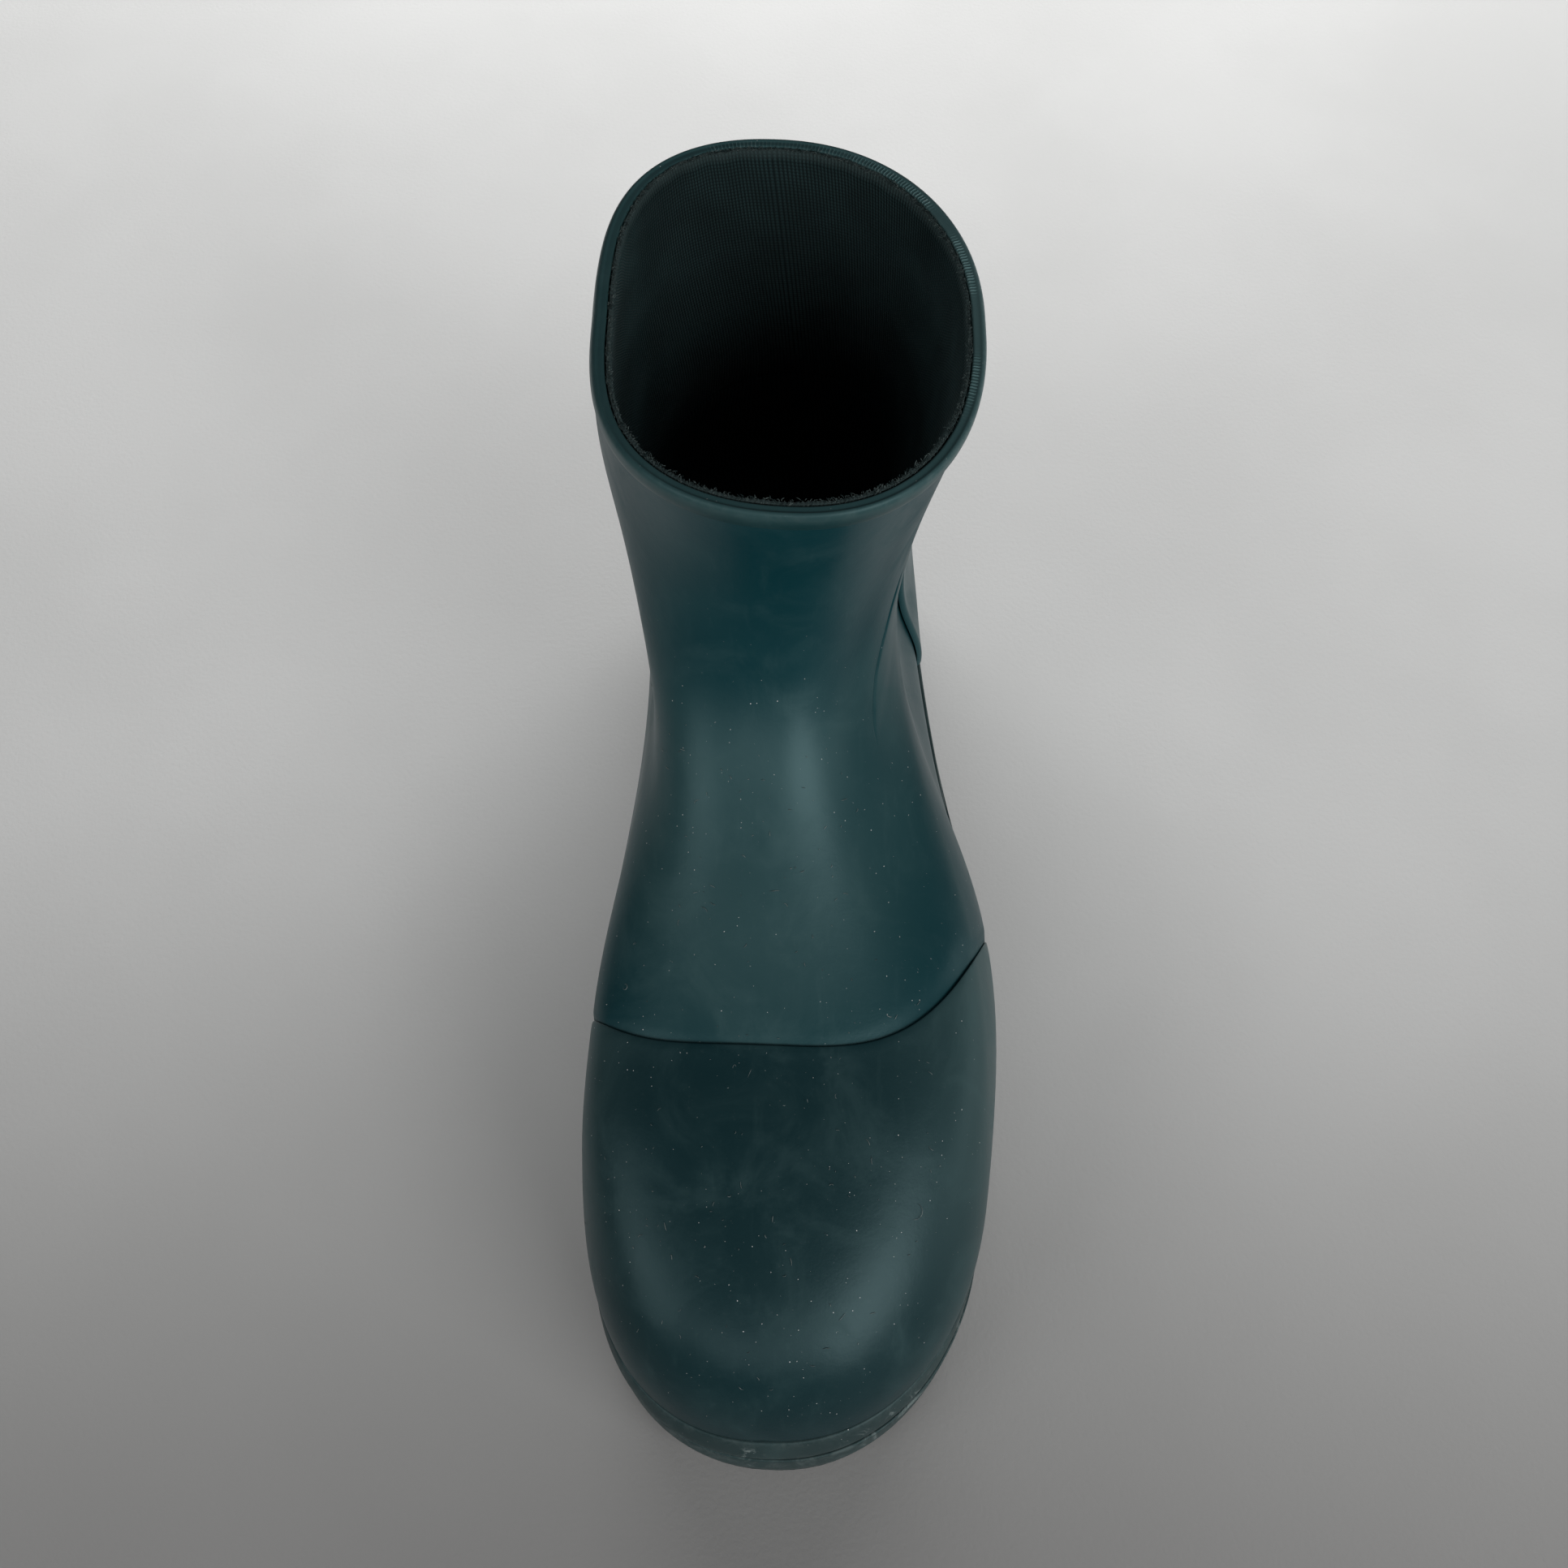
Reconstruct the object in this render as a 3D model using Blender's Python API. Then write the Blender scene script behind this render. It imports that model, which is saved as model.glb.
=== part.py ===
"""Left rubber rain boot, ankle height, as its separate pieces.

Frame: metres, +Z up, toe towards -Y, outer (lateral) side towards +X, standing on z = 0.
Lengths below are in millimetres and are multiplied by MM when a mesh is made.

The outside of the rubber is a loft through eight closed rings, from the feather line, where
the upper meets the sole, up to the rim. A place on it has two parameters: turn goes round a
ring (0 at the toe, a quarter turn on the outer side, a half turn at the heel), and level
goes up from 0 to 1. Every layer of the boot is that surface moved in or out along its normal.
"""

import math

import bmesh
import bpy
import numpy as np

MM = 0.001
GAP = 0.3

# Rings, bottom to top. Each row: level; front y and z; back y and z; outer and inner
# half-widths at the four SHARES of the ring's length; length of the front and back rounding.
SHARES = (0.12, 0.36, 0.62, 0.88)
RINGS = np.array([
    (0.00, -156, 28, 134, 30, 45.5, 50, 40.5, 31.5, 42, 39.5, 33, 34, 51, 47),
    (0.09, -151, 44, 139, 39, 51, 54.5, 42, 32.5, 44.5, 43, 36, 38, 53, 47),
    (0.22, -134, 62, 139, 53, 50, 56, 36, 33, 43.5, 43.5, 36, 40, 56, 47),
    (0.36, -94.5, 74.5, 136, 68, 51.5, 47, 31, 35.5, 44.5, 38, 37, 41, 67, 49),
    (0.52, -40, 91, 130, 89, 36.5, 32.5, 31.5, 38, 36, 32, 38, 42, 77, 53),
    (0.70, 2.5, 120, 127, 116, 30.5, 33.5, 37, 42, 42, 37, 41.5, 42, 62, 56),
    (0.86, 15, 152, 128.5, 143, 38.5, 40.5, 43, 45.5, 45.5, 44.5, 45, 45.5, 57, 57.5),
    (1.00, 13.5, 181.5, 133.5, 171, 43.5, 44.5, 46.5, 47.5, 47.5, 43, 42, 45, 55, 61),
])
ROUNDING = 2.2
INSTEP_LEAN = 6.5
RIM_LEAN = 9.0
BALL_SAG = 8.0
BALL_Y = -68.0
BALL_REACH = 62.0
FLAT_FOOT = 0.05
# Moves the middle of the whole boot's footprint to the origin.
SHIFT = np.array((-3.25, 9.5, 0.0))

COLUMNS = 40
LEVELS = (0.0, 0.055, 0.12, 0.19, 0.27, 0.35, 0.43, 0.51, 0.59, 0.68, 0.77, 0.87, 0.972)
ANKLE_ROW = 8

# Wall layers, as distances out from the rubber's outside.
RUBBER = 2.4
OVERLAY = 1.7
COUNTER = 1.3
STIFFENER = 1.0
LINING = 1.4

# The toe cap's back edge in plan: furthest forward at CAP_MIDDLE_X, and CAP_SWEEP further
# back where it is CAP_REACH to the side.
CAP_EDGE_Y = -69.0
CAP_MIDDLE_X = -7.0
CAP_REACH = 54.0
CAP_SWEEP = 25.7
CAP_POWER = 3.7
PUFF_FORWARD = 14.0
STIFFENER_BACK = 12.0
# Cutters reach past the boot: to the side, ahead of it, and below and above the toe.
PAST_SIDE = 90.0
PAST_TOE = -190.0
TOE_HEIGHTS = (-10.0, 150.0)
# The heel counter's edge from the side, from the sole up: y and z.
COUNTER_EDGE = ((61, 0), (63, 30), (71, 61), (79, 80), (92, 95), (112, 103), (170, 107))
# Where the linings step in: behind the cap's edge, from the waist to the heel, and up its height.
TOE_STEP = (10.0, 36.0)
HEEL_STEP = (24.0, 50.0)
HEEL_STEP_TOP = (106.0, 128.0)
LINING_SPLIT = 0.004
LINING_TOP = 0.955
# The rim's section: level, and distance out.
RIM_SECTION = (
    (0.9737, 0.7), (0.987, 1.0), (0.998, 0.4), (1.0, -1.4), (0.990, -2.7), (0.9737, -2.6),
)

# Sole stack.
FLANGE = 4.3
FLANGE_OUTER = 1.0
FLANGE_BEVEL = 1.0
FOXING_FOOT_INSET = 0.8
FOXING_TOP_INSET = 0.5
LEDGE_LEVEL = 0.019
# The strip above the ledge: level, and distance out.
STRIP_SECTION = ((0.0525, GAP), (0.022, GAP), (0.022, 2.9), (0.0525, 2.3))
SLAB_INSET = 0.6
HEEL_INSET = 1.2
SLAB = 8.0
HEEL_RISE = 16.0
RAMP_START_Y = -25.0
RAMP_END_Y = 48.0
SPRING_START_Y = -110.0
SPRING_LENGTH = 50.0
TOE_SPRING = 7.0
TOP_PIECE = 6.0
HEEL_ROW = 13
BOARD = 2.0
FOAM = 4.5
COVER = 1.2
FOOTBED_INSET = 8.2
GROOVE_DEPTH = 3.5
GROOVE_WIDTH = 5.0
GROOVE_PITCH = 13.0
GROOVE_LENGTH = 150.0
FOREPART_GROOVES = (-137.0, -30.0)
HEEL_GROOVES = (68.0, 135.0)
SHANK_WIDTH = 14.0
SHANK_THICKNESS = 1.6
SHANK_ENDS_Y = (-42.0, 34.0)
SHANK_MIDDLE_X = 3.0
OUTLINE_POINTS = 25
SHANK_POINTS = 9


def spline(knots, values, at):
    """Natural cubic spline through rows of values."""
    knots = np.asarray(knots, float)
    values = np.asarray(values, float)
    step = np.diff(knots)
    last = len(knots) - 1
    system = np.zeros((last + 1, last + 1))
    system[0, 0] = 1
    system[last, last] = 1
    right = np.zeros_like(values)
    for i in range(1, last):
        system[i, i - 1:i + 2] = (step[i - 1], 2 * (step[i - 1] + step[i]), step[i])
        rise_after = (values[i + 1] - values[i]) / step[i]
        rise_before = (values[i] - values[i - 1]) / step[i - 1]
        right[i] = 3 * (rise_after - rise_before)
    bend = np.linalg.solve(system, right)
    i = np.clip(np.searchsorted(knots, at, side="right") - 1, 0, last - 1)
    d = (at - knots[i])[..., None]
    h = step[i][..., None]
    slope = (values[i + 1] - values[i]) / h - h * (2 * bend[i] + bend[i + 1]) / 3
    return values[i] + slope * d + bend[i] * d**2 + (bend[i + 1] - bend[i]) / (3 * h) * d**3


def rounded_end(share):
    """Superellipse: 0 at the tip of a ring, 1 where its sides are at full width."""
    share = np.clip(share, 0, 1)
    return (1 - (1 - share) ** ROUNDING) ** (1 / ROUNDING)


def outside(turn, level):
    """Points on the rubber's outside, in millimetres, for arrays of turn and level."""
    turn, level = np.broadcast_arrays(np.asarray(turn, float), np.asarray(level, float))
    ring = spline(RINGS[:, 0], RINGS[:, 1:], level)
    front_y, front_z, back_y, back_z = (ring[..., k] for k in range(4))
    share = (1 - np.cos(turn)) / 2
    y = front_y + (back_y - front_y) * share
    sag = BALL_SAG * np.exp(-(((y - BALL_Y) / BALL_REACH) ** 2)) * (1 - level) ** 3
    z = front_z + (back_z - front_z) * share - sag
    weights = spline(SHARES, np.eye(4), share)
    outer = (weights * ring[..., 4:8]).sum(-1)
    inner = (weights * ring[..., 8:12]).sum(-1)
    side = np.where(np.sin(turn) >= 0, 1.0, -1.0)
    width = np.where(side > 0, outer, inner)
    width = width * rounded_end((y - front_y) / ring[..., 12])
    width = width * rounded_end((back_y - y) / ring[..., 13])
    front_x = -INSTEP_LEAN * np.sin(math.pi * level)
    back_x = -0.5 - RIM_LEAN * level**3
    x = front_x + (back_x - front_x) * share + side * width
    return np.stack([x, y, z], -1)


def outward(turn, level, step=1e-3):
    """Unit normals of the outside, turned level at the feather line, so that walls end flat."""
    inside = np.clip(level, step, 1 - step)
    round_ring = outside(turn + step, inside) - outside(turn - step, inside)
    up_wall = outside(turn, inside + step) - outside(turn, inside - step)
    normal = np.cross(round_ring, up_wall)
    normal[..., 2] *= np.clip(level / FLAT_FOOT, 0, 1)
    return normal / np.linalg.norm(normal, axis=-1, keepdims=True)


def turns():
    """Even turns all the way round."""
    return np.arange(COLUMNS) * 2 * math.pi / COLUMNS


def moved(turn, level, distance):
    """The outside moved out by a distance, along its normal."""
    distance = np.broadcast_to(distance, np.broadcast(turn, level).shape)
    return outside(turn, level) + outward(turn, level) * distance[..., None]


def sideways(turn, distance):
    """The feather line moved out level by a distance."""
    return moved(turn, np.zeros_like(turn), distance)


def smooth_step(value, low, high):
    """0 below low, 1 above high, and a smooth rise between."""
    share = np.clip((value - low) / (high - low), 0, 1)
    return share * share * (3 - 2 * share)


def clear_scene():
    """Empties the scene."""
    for obj in list(bpy.data.objects):
        bpy.data.objects.remove(obj)


def collection(name):
    """A new collection in the scene."""
    made = bpy.data.collections.new(name)
    bpy.context.scene.collection.children.link(made)
    return made


def material(name, colour, roughness, metallic=0.0):
    """A plain finish."""
    made = bpy.data.materials.new(name)
    made.use_nodes = True
    shader = made.node_tree.nodes["Principled BSDF"]
    shader.inputs["Base Color"].default_value = (*colour, 1.0)
    shader.inputs["Roughness"].default_value = roughness
    shader.inputs["Metallic"].default_value = metallic
    return made


def add_mesh(name, points, faces, finish, home):
    """A mesh object from points in millimetres and a list of triangles or quads."""
    mesh = bpy.data.meshes.new(name)
    mesh.from_pydata(((points + SHIFT) * MM).tolist(), [], faces)
    work = bmesh.new()
    work.from_mesh(mesh)
    bmesh.ops.remove_doubles(work, verts=work.verts, dist=1e-6)
    bmesh.ops.dissolve_degenerate(work, dist=1e-6, edges=work.edges)
    bmesh.ops.recalc_face_normals(work, faces=work.faces)
    work.to_mesh(mesh)
    work.free()
    mesh.shade_smooth()
    mesh.set_sharp_from_angle(angle=math.radians(40))
    made = bpy.data.objects.new(name, mesh)
    home.objects.link(made)
    if finish:
        mesh.materials.append(finish)
    else:
        made.hide_render = True
        made.display_type = "WIRE"
    return made


def grid_faces(rows, columns, first, wraps, turned):
    """Two triangles for each cell of a grid of points, all split along the same diagonal."""
    faces = []
    for i in range(rows - 1):
        for k in range(columns if wraps else columns - 1):
            a = first + i * columns + k
            b = first + i * columns + (k + 1) % columns
            c = b + columns
            d = a + columns
            faces += [(a, c, b), (a, d, c)] if turned else [(a, b, c), (a, c, d)]
    return faces


def tube_wall(name, levels, outer, inner, finish, home):
    """A wall that goes all the way round, between two distances from the outside."""
    turn, level = np.meshgrid(turns(), levels)
    rows = len(levels)
    count = rows * COLUMNS
    skins = [moved(turn, level, d).reshape(-1, 3) for d in (outer(turn, level), inner(turn, level))]
    faces = grid_faces(rows, COLUMNS, 0, True, False)
    faces += grid_faces(rows, COLUMNS, count, True, True)
    for row, turned in ((0, True), (rows - 1, False)):
        for k in range(COLUMNS):
            a = row * COLUMNS + k
            b = row * COLUMNS + (k + 1) % COLUMNS
            quad = (a, b, b + count, a + count)
            faces.append(quad[::-1] if turned else quad)
    return add_mesh(name, np.concatenate(skins), faces, finish, home)


def patch_wall(name, columns, levels, outer, inner, finish, home):
    """A wall over part of the turn, given as a range of whole columns."""
    turn, level = np.meshgrid(np.array(columns) * 2 * math.pi / COLUMNS, levels)
    rows, wide = turn.shape
    count = rows * wide
    skins = [moved(turn, level, d).reshape(-1, 3) for d in (outer, inner)]
    faces = grid_faces(rows, wide, 0, False, False)
    faces += grid_faces(rows, wide, count, False, True)
    edge = list(range(wide))
    edge += [i * wide + wide - 1 for i in range(1, rows)]
    edge += [(rows - 1) * wide + k for k in range(wide - 2, -1, -1)]
    edge += [i * wide for i in range(rows - 2, 0, -1)]
    for a, b in zip(edge, edge[1:] + edge[:1]):
        faces.append((b, a, a + count, b + count))
    return add_mesh(name, np.concatenate(skins), faces, finish, home)


def ring_of_sections(name, sections, finish, home):
    """A closed band from section corners, each an array of one point per column."""
    points = np.concatenate(sections)
    corners = len(sections)
    faces = []
    for s in range(corners):
        for k in range(COLUMNS):
            a = s * COLUMNS + k
            b = s * COLUMNS + (k + 1) % COLUMNS
            c = (s + 1) % corners * COLUMNS + (k + 1) % COLUMNS
            d = (s + 1) % corners * COLUMNS + k
            faces += [(a, b, c), (a, c, d)]
    return add_mesh(name, points, faces, finish, home)


def feather_rows():
    """y and z of the feather line for each row of the sole's sheets."""
    line = outside(turns()[:COLUMNS // 2 + 1], np.zeros(COLUMNS // 2 + 1))
    return line[:, 1], line[:, 2]


def tread_z(y):
    """Underside of the sole slab: toe spring, flat forepart, ramp up to the heel seat."""
    spring = np.clip((SPRING_START_Y - y) / SPRING_LENGTH, 0, None) ** 2
    return TOE_SPRING * spring + HEEL_RISE * smooth_step(y, RAMP_START_Y, RAMP_END_Y)


def sheet(name, push, bottom, top, finish, home, first_row=0, across=4):
    """A layer of the sole: the feather line moved by push, between two heights for each row."""
    half = COLUMNS // 2
    rows = np.arange(first_row, half + 1)
    line = sideways(turns(), push)
    outer = line[rows]
    inner = line[-rows % COLUMNS]
    share = (np.arange(across + 1) / across)[None, :, None]
    plan = outer[:, None] * (1 - share) + inner[:, None] * share
    wide = across + 1
    skins = []
    for height in (bottom, top):
        skin = plan.copy()
        skin[..., 2] = height[rows][:, None]
        skins.append(skin.reshape(-1, 3))
    count = len(rows) * wide
    faces = grid_faces(len(rows), wide, 0, False, True)
    faces += grid_faces(len(rows), wide, count, False, False)
    edge = list(range(wide))
    edge += [i * wide + wide - 1 for i in range(1, len(rows))]
    edge += [(len(rows) - 1) * wide + k for k in range(wide - 2, -1, -1)]
    edge += [i * wide for i in range(len(rows) - 2, 0, -1)]
    for a, b in zip(edge, edge[1:] + edge[:1]):
        faces.append((a, b, b + count, a + count))
    return add_mesh(name, np.concatenate(skins), faces, finish, home)


def box_cutter(name, boxes, home):
    """Closed boxes in one cutter, each given by its middle and its size, in millimetres."""
    work = bmesh.new()
    for middle, size in boxes:
        made = bmesh.ops.create_cube(work, size=1.0)
        bmesh.ops.scale(work, verts=made["verts"], vec=[MM * s for s in size])
        place = (np.asarray(middle) + SHIFT) * MM
        bmesh.ops.translate(work, verts=made["verts"], vec=place.tolist())
    mesh = bpy.data.meshes.new(name)
    work.to_mesh(mesh)
    work.free()
    made = bpy.data.objects.new(name, mesh)
    home.objects.link(made)
    made.hide_render = True
    made.display_type = "WIRE"
    return made


def prism(name, outline, along, low, high, home, finish=None):
    """An outline in the plane across one axis, drawn out between two places on that axis."""
    count = len(outline)
    ends = []
    for place in (low, high):
        ends.append(np.insert(np.asarray(outline, float), along, place, axis=1))
    faces = [tuple(range(count)), tuple(range(2 * count - 1, count - 1, -1))]
    for k in range(count):
        b = (k + 1) % count
        faces.append((k, k + count, b + count, b))
    return add_mesh(name, np.concatenate(ends), faces, finish, home)


def boolean(target, cutter, operation):
    """Cuts or keeps what is inside the cutter."""
    step = target.modifiers.new(cutter.name, "BOOLEAN")
    step.object = cutter
    step.operation = operation
    step.solver = "EXACT"


def cap_edge_y(x):
    """The toe cap's back edge in plan."""
    return CAP_EDGE_Y + CAP_SWEEP * (abs(x - CAP_MIDDLE_X) / CAP_REACH) ** CAP_POWER


def cap_outline(forward):
    """Everything ahead of the toe cap's edge, which is first moved forward."""
    x = np.linspace(-PAST_SIDE, PAST_SIDE, OUTLINE_POINTS)
    curve = list(zip(x, cap_edge_y(x) - forward))
    return curve + [(PAST_SIDE, PAST_TOE), (-PAST_SIDE, PAST_TOE)]


def counter_outline(inside):
    """The heel counter from the side, with its edge moved back and down by inside."""
    edge = [(y + inside, z - inside) for y, z in COUNTER_EDGE]
    return edge + [(edge[-1][0], edge[0][1])]


def lining_depth(turn, level):
    """The lining lies deeper where the toe puff and the heel stiffener are behind it."""
    x, y, z = (outside(turn, level)[..., k] for k in range(3))
    toe = 1 - smooth_step(y - cap_edge_y(x), *TOE_STEP)
    heel = smooth_step(y, *HEEL_STEP) * (1 - smooth_step(z, *HEEL_STEP_TOP))
    return -(RUBBER + GAP) - (STIFFENER + GAP) * np.maximum(toe, heel)


def make_upper(rubber, home):
    """The moulded wall, from the feather line to under the rim."""
    tube_wall("upper_shell", LEVELS, lambda t, l: 0 * t, lambda t, l: 0 * t - RUBBER, rubber, home)


def make_toe_cap(rubber, home, cutters):
    """The overlay on the toe."""
    columns = range(-15, 16)
    cap = patch_wall("toe_cap", columns, LEVELS[1:8], GAP + OVERLAY, GAP, rubber, home)
    boolean(cap, prism("toe_cap_edge", cap_outline(0), 2, *TOE_HEIGHTS, cutters), "INTERSECT")


def make_heel_counter(rubber, home, cutters):
    """The overlay round the heel."""
    columns = range(10, 31)
    counter = patch_wall("heel_counter", columns, LEVELS[1:10], GAP + COUNTER, GAP, rubber, home)
    outline = counter_outline(0)
    edge = prism("heel_counter_edge", outline, 0, -PAST_SIDE, PAST_SIDE, cutters)
    boolean(counter, edge, "INTERSECT")


def make_toe_puff(board, home, cutters):
    """The stiffener behind the toe's rubber."""
    outer = -(RUBBER + GAP)
    puff = patch_wall("toe_puff", range(-12, 13), LEVELS[1:7], outer, outer - STIFFENER, board, home)
    edge = prism("toe_puff_edge", cap_outline(PUFF_FORWARD), 2, *TOE_HEIGHTS, cutters)
    boolean(puff, edge, "INTERSECT")


def make_heel_stiffener(board, home, cutters):
    """The stiffener behind the heel's rubber."""
    outer = -(RUBBER + GAP)
    inner = outer - STIFFENER
    stiffener = patch_wall("heel_stiffener", range(11, 30), LEVELS[1:9], outer, inner, board, home)
    outline = counter_outline(STIFFENER_BACK)
    edge = prism("heel_stiffener_edge", outline, 0, -PAST_SIDE, PAST_SIDE, cutters)
    boolean(stiffener, edge, "INTERSECT")


def make_linings(knit, home):
    """The knitted lining, in two tubes that meet at the ankle."""
    foot_levels = LEVELS[:ANKLE_ROW] + (LEVELS[ANKLE_ROW] - LINING_SPLIT,)
    leg_levels = LEVELS[ANKLE_ROW:-1] + (LINING_TOP,)
    for name, levels in (("foot_lining", foot_levels), ("leg_lining", leg_levels)):
        tube_wall(name, levels, lining_depth, lambda t, l: lining_depth(t, l) - LINING, knit, home)


def make_rim_band(rubber, home):
    """A rolled edge on top of the upper and the lining's cut edge."""
    turn = turns()
    sections = [moved(turn, np.full_like(turn, level), out) for level, out in RIM_SECTION]
    ring_of_sections("rim_band", sections, rubber, home)


def flange(turn):
    """How far the sole stands out from the feather line, more on the outer side."""
    return FLANGE + FLANGE_OUTER * np.sin(turn)


def make_foxing(rubber, home, slab_top):
    """The sidewall band, and the narrower strip above it that leaves a ledge."""
    turn = turns()
    ledge = np.full_like(turn, LEDGE_LEVEL)
    column_top = np.concatenate([slab_top, slab_top[-2:0:-1]])
    inner_foot = sideways(turn, GAP)
    inner_foot[:, 2] = column_top + GAP
    outer_foot = sideways(turn, flange(turn) - FOXING_FOOT_INSET)
    outer_foot[:, 2] = column_top + GAP
    outer_edge = sideways(turn, flange(turn))
    outer_edge[:, 2] -= FLANGE_BEVEL
    sections = [
        moved(turn, ledge, GAP),
        sideways(turn, GAP),
        inner_foot,
        outer_foot,
        outer_edge,
        moved(turn, ledge, flange(turn) - FOXING_TOP_INSET),
    ]
    ring_of_sections("foxing_band", sections, rubber, home)
    strip = [moved(turn, np.full_like(turn, level), out) for level, out in STRIP_SECTION]
    ring_of_sections("bumper_strip", strip, rubber, home)


def groove_boxes(first_y, last_y):
    """Boxes across the sole, one for each groove."""
    size = (GROOVE_LENGTH, GROOVE_WIDTH, 2 * GROOVE_DEPTH)
    return [((0, y, 0), size) for y in np.arange(first_y, last_y, GROOVE_PITCH)]


def make_outsole(rubber, home, cutters, y, slab_top):
    """The slab under the whole foot, with grooves under the ball."""
    push = flange(turns()) - SLAB_INSET
    sole = sheet("outsole", push, tread_z(y), slab_top, rubber, home)
    cutter = box_cutter("forepart_grooves", groove_boxes(*FOREPART_GROOVES), cutters)
    boolean(sole, cutter, "DIFFERENCE")


def make_heel(rubber, home, cutters):
    """The heel block and the grooved piece that it stands on."""
    flat = np.ones(COLUMNS // 2 + 1)
    block_top = flat * (HEEL_RISE - GAP)
    push = flange(turns()) - HEEL_INSET
    sheet("heel_block", push, flat * (TOP_PIECE + GAP), block_top, rubber, home, HEEL_ROW)
    piece = sheet("heel_top_piece", push, flat * 0, flat * TOP_PIECE, rubber, home, HEEL_ROW)
    cutter = box_cutter("heel_grooves", groove_boxes(*HEEL_GROOVES), cutters)
    boolean(piece, cutter, "DIFFERENCE")


def shank_outline(feather_y, board_foot, room, height):
    """The shank from the side: a strip halfway between the slab and the insole board."""
    y = np.linspace(SHANK_ENDS_Y[0] - room, SHANK_ENDS_Y[1] + room, SHANK_POINTS)
    middle = (tread_z(y) + SLAB + np.interp(y, feather_y, board_foot)) / 2
    low = middle - SHANK_THICKNESS / 2 - room
    return list(zip(y, low)) + list(zip(y[::-1], (low + height)[::-1]))


def make_midsole(sponge, steel, home, cutters, y, slab_top, board_foot):
    """The filler has a channel from above, and the shank lies in it."""
    filler = sheet("midsole_filler", -GAP, slab_top + GAP, board_foot - GAP, sponge, home)
    channel = shank_outline(y, board_foot, GAP, 2 * SLAB)
    half = SHANK_WIDTH / 2
    low, high = SHANK_MIDDLE_X - half, SHANK_MIDDLE_X + half
    cutter = prism("shank_channel", channel, 0, low - GAP, high + GAP, cutters)
    boolean(filler, cutter, "DIFFERENCE")
    strip = shank_outline(y, board_foot, 0, SHANK_THICKNESS)
    prism("shank", strip, 0, low, high, home, steel)


def make_footbed(board, foam, knit, home, feather, board_foot):
    """The insole board, and the foam and the cover that lie on it."""
    sheet("insole_board", -GAP, board_foot, board_foot + BOARD, board, home)
    low = feather + GAP
    sheet("footbed_foam", -FOOTBED_INSET, low, low + FOAM, foam, home)
    high = low + FOAM + GAP
    sheet("footbed_cover", -FOOTBED_INSET, high, high + COVER, knit, home)


def main():
    """Builds the boot."""
    clear_scene()
    home = collection("rain_boot")
    cutters = collection("cutters")
    rubber = material("upper_rubber", (0.022, 0.046, 0.052), 0.45)
    trim = material("trim_rubber", (0.026, 0.048, 0.05), 0.5)
    tread = material("sole_rubber", (0.02, 0.03, 0.032), 0.6)
    knit = material("lining_knit", (0.006, 0.013, 0.013), 0.95)
    stiff = material("stiffener_board", (0.34, 0.27, 0.19), 0.9)
    sponge = material("sponge_rubber", (0.08, 0.08, 0.075), 0.9)
    foam = material("footbed_foam", (0.12, 0.12, 0.11), 0.95)
    steel = material("shank_steel", (0.55, 0.55, 0.53), 0.35, 1.0)
    y, feather = feather_rows()
    slab_top = tread_z(y) + SLAB
    board_foot = feather - GAP - BOARD
    make_upper(rubber, home)
    make_toe_cap(rubber, home, cutters)
    make_heel_counter(rubber, home, cutters)
    make_rim_band(trim, home)
    make_foxing(trim, home, slab_top)
    make_outsole(tread, home, cutters, y, slab_top)
    make_heel(tread, home, cutters)
    make_midsole(sponge, steel, home, cutters, y, slab_top, board_foot)
    make_footbed(stiff, foam, knit, home, feather, board_foot)
    make_linings(knit, home)
    make_toe_puff(stiff, home, cutters)
    make_heel_stiffener(stiff, home, cutters)


main()
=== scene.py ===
"""The looks of a left rubber rain boot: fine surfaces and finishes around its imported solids.

Frame: metres, +Z up, toe towards -Y, outer side of the foot towards +X, standing on z = 0.
Lengths below are in millimetres, and MM turns them into metres when a mesh is made.

The outside of the rubber is a loft through closed rings. A place on it has two parameters:
turn goes round a ring (0 at the toe, a quarter turn on the outer side, a half turn at the
heel), and level goes up from 0 at the feather line, where the upper meets the sole, to 1 at
the rim. Every layer is that surface moved in or out along its normal.
"""

import logging
import math
from dataclasses import dataclass, field
from enum import Enum
from typing import Protocol, Sequence

import bmesh
import bpy
import numpy as np
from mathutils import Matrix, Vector


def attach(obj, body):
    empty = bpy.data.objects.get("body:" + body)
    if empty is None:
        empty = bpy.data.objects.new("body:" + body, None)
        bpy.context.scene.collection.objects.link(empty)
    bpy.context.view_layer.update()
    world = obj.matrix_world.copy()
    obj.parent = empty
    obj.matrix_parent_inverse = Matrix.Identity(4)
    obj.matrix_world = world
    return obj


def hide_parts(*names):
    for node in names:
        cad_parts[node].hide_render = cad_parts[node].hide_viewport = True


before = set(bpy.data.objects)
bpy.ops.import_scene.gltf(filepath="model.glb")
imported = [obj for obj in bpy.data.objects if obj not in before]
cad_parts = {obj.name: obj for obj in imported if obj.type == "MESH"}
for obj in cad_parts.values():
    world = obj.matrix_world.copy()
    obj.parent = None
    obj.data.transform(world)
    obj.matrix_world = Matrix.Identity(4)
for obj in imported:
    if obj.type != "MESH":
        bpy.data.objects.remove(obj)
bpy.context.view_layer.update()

Array = np.ndarray
Colour = tuple[float, float, float]
log = logging.getLogger("rain_boot")

MM = 0.001
GAP = 0.3
WELD = 1e-6
FULL_TURN = 2 * math.pi

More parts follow.
